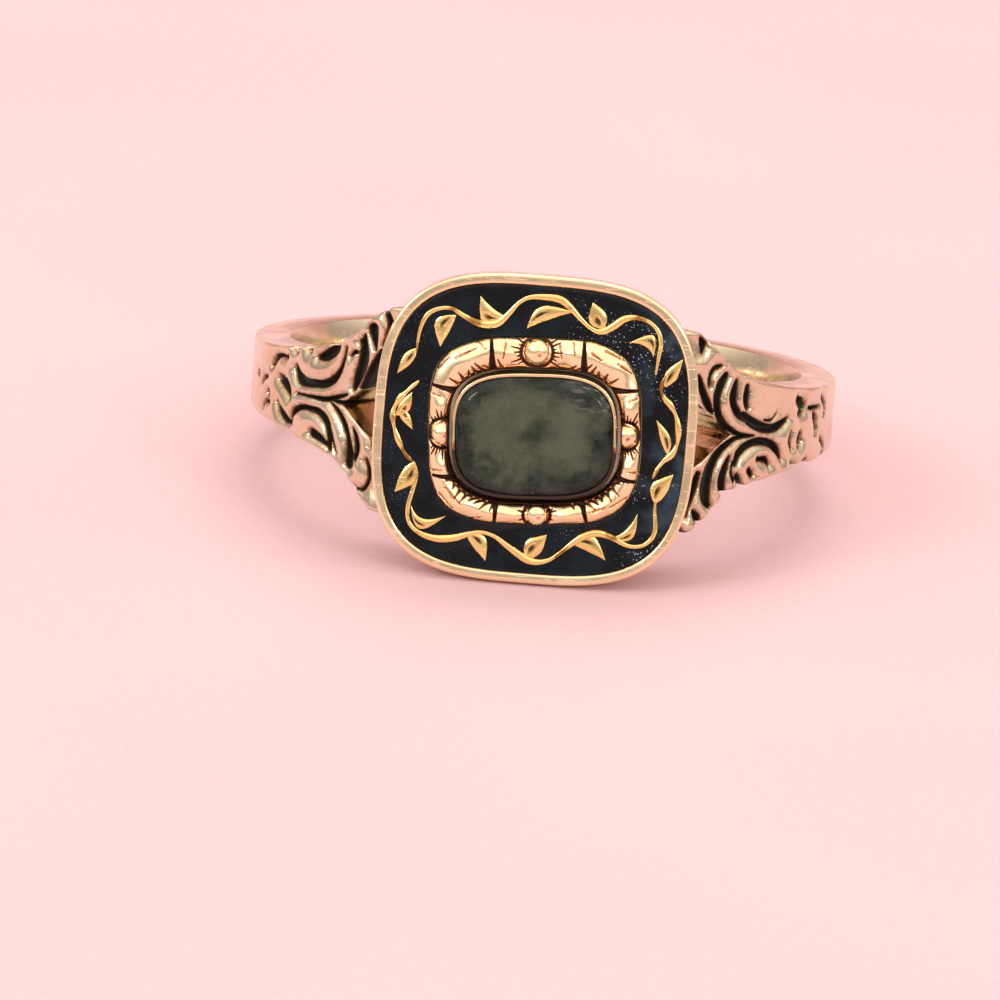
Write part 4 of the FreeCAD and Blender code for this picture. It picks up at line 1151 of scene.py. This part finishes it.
# %% The plait of hair
lock_count, lock_samples, lock_width, lock_sides = 26, 90, 0.30, 8
lock_thickness, lock_slant, lock_margin = 0.09, 0.9, 1.6
weave_rise, weave_step, plait_middle = 0.045, 0.42, -0.28
hair_inset, hair_share, fewest_samples = 0.03, 0.94, 6
bed_sides, bed_top = 96, -0.40
limit_x, limit_z = glass_half_x - hair_inset, glass_half_z - hair_inset


def lock_points(start, way):
    """One lock across the window, or None where the outline leaves too little of it."""
    z = glass_half_z * np.linspace(-1.0, 1.0, lock_samples)
    x = start + way * lock_slant * z
    inside = cushion_reach(x, z, limit_x, limit_z, glass_power) ** glass_power < hair_share
    if inside.sum() < fewest_samples:
        return None
    x, z = x[inside], z[inside]
    dx, dz = np.gradient(x), np.gradient(z)
    size = np.hypot(dx, dz)
    weave = weave_rise * way * np.cos(math.pi * (x + way * z * lock_slant) / weave_step)
    steps = np.arange(len(x))
    taper = np.minimum(1.0, 0.25 + 0.25 * np.minimum(steps, steps[::-1]))[:, None]
    turn = 2.0 * math.pi * np.arange(lock_sides) / lock_sides
    aside = 0.5 * lock_width * np.cos(turn) * taper
    px = x[:, None] - (dz / size)[:, None] * aside
    pz = z[:, None] + (dx / size)[:, None] * aside
    over = np.maximum(1.0, cushion_reach(px, pz, limit_x, limit_z, glass_power))
    out = plait_middle + weave[:, None] + 0.5 * lock_thickness * np.sin(turn) * taper
    return np.stack([px / over, pz / over, out], -1)


def make_hair_points():
    """All the locks and the bed under them, each a closed tube of rings."""
    x, z = cushion(glass_half_x, glass_half_z, glass_power, bed_sides)
    bed = np.stack([np.column_stack([x, z, np.full(bed_sides, out)])
                    for out in (-field_sink + piece_gap, bed_top)])
    far_left = -glass_half_x - lock_margin
    starts = far_left - 2.0 * far_left * np.arange(lock_count) / (lock_count - 1)
    tubes = [lock_points(start, way) for way in (1.0, -1.0) for start in starts] + [bed]
    points, faces = [], []
    for tube in tubes:
        if tube is None:
            continue
        first = sum(len(p) for p in points)
        rings, sides = tube.shape[:2]
        points.append(tube.reshape(-1, 3))
        faces += (first + sheet_faces(rings, sides, wrap_columns=True)).tolist()
        faces.append([first + i for i in range(sides)][::-1])
        faces.append([first + (rings - 1) * sides + i for i in range(sides)])
    return np.concatenate(points).T, faces


def make_hair_material():
    material, tree, shader, place = new_material("woven hair")
    strands = noise(tree, place, 7000.0, 4.0)
    tone = blend_colours(tree, remap(tree, strands, 0.38, 0.64), (0.020, 0.015, 0.008),
                         (0.150, 0.115, 0.060))
    feed_node(tree, shader, Base_Color=tone, Roughness=remap(tree, strands, 0.3, 0.7, 0.55, 0.35),
              Normal=bumps(tree, strands, 0.006))
    return material


(hair_x, hair_z, hair_out), hair_faces = make_hair_points()
hair_points = from_face(hair_x, hair_z - window_drop, hair_out, frame_turn)
hair_mesh = build_mesh("hair", hair_points, hair_faces, 50.0)
finish_piece("hair_plait", hair_mesh, make_hair_material(), "hair_panel")

# %% [markdown]
# The ring lies on plain pale pink paper that runs up behind it without a horizon, as on a photographer's
# table. A large soft light comes from above and behind, a second from the left front, and a small one
# makes the glints on the gold. The room round them is grey near the table and bright overhead, because
# metal shows mostly what it reflects.

# %% The floor
floor_half_width, floor_front, floor_back, floor_bend, floor_top = 0.6, 0.5, 0.25, 0.25, 0.7


def make_paper_material():
    material, tree, shader, place = new_material("pink paper")
    fibres = noise(tree, place, 2600.0, 6.0, 0.65)
    tone = blend_colours(tree, remap(tree, noise(tree, place, 35.0, 2.0), 0.35, 0.65),
                         (0.69, 0.445, 0.495), (0.71, 0.47, 0.52))
    tone = blend_colours(tree, remap(tree, fibres, 0.35, 0.65, 0.0, 0.30), tone, (0.75, 0.52, 0.57))
    feed_node(tree, shader, Base_Color=tone, Roughness=remap(tree, fibres, 0.3, 0.7, 0.75, 0.9),
              Normal=bumps(tree, fibres, 0.05, 0.4))
    return material


def make_floor():
    """A sheet that lies flat, then curves up behind the ring."""
    profile = [(-floor_front, 0.0), (0.5 * floor_back, 0.0)]
    for a in np.linspace(0.0, 0.5 * math.pi, 24):
        profile.append((floor_back + floor_bend * math.sin(a), floor_bend * (1.0 - math.cos(a))))
    profile.append((floor_back + floor_bend, floor_top))
    points = [(x, y, z) for y, z in profile for x in (-floor_half_width, floor_half_width)]
    faces = [[2 * i, 2 * i + 1, 2 * i + 3, 2 * i + 2] for i in range(len(profile) - 1)]
    mesh = bpy.data.meshes.new("paper")
    mesh.from_pydata(points, [], faces)
    mesh.shade_smooth()
    mesh.materials.append(make_paper_material())
    floor = link_object("paper", mesh)


make_floor()


# %% The lights
def soft_light(name, place, aim, size, power, colour):
    data = bpy.data.lights.new(name, "AREA")
    data.shape = "DISK"
    data.size = size
    data.energy = power
    data.color = colour
    facing = (Vector(aim) - Vector(place)).to_track_quat("-Z", "Y").to_matrix().to_4x4()
    link_object(name, data).matrix_world = Matrix.Translation(place) @ facing


ring_middle = (0.0, 0.0, 0.004)
soft_light("window_top", (0.02, 0.16, 0.26), ring_middle, 0.22, 0.30, (1.0, 0.97, 0.90))
soft_light("window_left", (-0.20, -0.17, 0.17), ring_middle, 0.10, 0.26, (1.0, 0.99, 0.95))
soft_light("glint_right", (0.16, -0.20, 0.14), ring_middle, 0.06, 0.12, (1.0, 0.97, 0.92))


def make_room(horizon, overhead):
    """A pale room: grey and dim near the table, warm white overhead."""
    world = bpy.data.worlds.new("pale room")
    world.use_nodes = True
    tree = world.node_tree
    direction = tree.nodes.new("ShaderNodeTexCoord").outputs["Generated"]
    colour = blend_colours(tree, remap(tree, axis(tree, direction, "Z"), 0.08, 0.58), horizon, overhead)
    feed_node(tree, tree.nodes["Background"], Color=colour)
    bpy.context.scene.world = world


make_room((0.50, 0.45, 0.42), (1.42, 1.34, 1.16))

# %% [markdown]
# The camera stands in front of the ring and a little above the plane of its band, far enough away for a
# long lens. Its place and turn are worked out in the ring's own axes, and then laid down with the ring.

# %% The camera
pitch, yaw, roll = math.radians(8.39), math.radians(1.18), math.radians(4.48)
view_distance, view_right, view_up = 250.0, -1.49, -3.879
focal_pixels, picture_pixels, sensor_width = 7262.5, 1000.0, 36.0

backward = np.array([math.sin(yaw) * math.cos(pitch), -math.cos(yaw) * math.cos(pitch), math.sin(pitch)])
level_right = np.cross(-backward, (0.0, 0.0, 1.0))
level_right /= np.linalg.norm(level_right)
level_up = np.cross(level_right, -backward)
right = math.cos(roll) * level_right + math.sin(roll) * level_up
up = -math.sin(roll) * level_right + math.cos(roll) * level_up
eye = placed(view_distance * backward + view_right * right + view_up * up)

lens = bpy.data.cameras.new("camera")
lens.sensor_width = sensor_width
lens.lens = focal_pixels / picture_pixels * sensor_width
lens.clip_start, lens.clip_end = 0.01, 5.0
camera = link_object("camera", lens)
pose = np.eye(4)
pose[:3, :3] = laid([right, up, backward]).T
pose[:3, 3] = eye
camera.matrix_world = Matrix(pose.tolist())
bpy.context.scene.camera = camera
bpy.context.scene.view_settings.view_transform = "Standard"
print("camera height in mm", round(1000 * eye[2], 1), "lens in mm", round(lens.lens, 1))
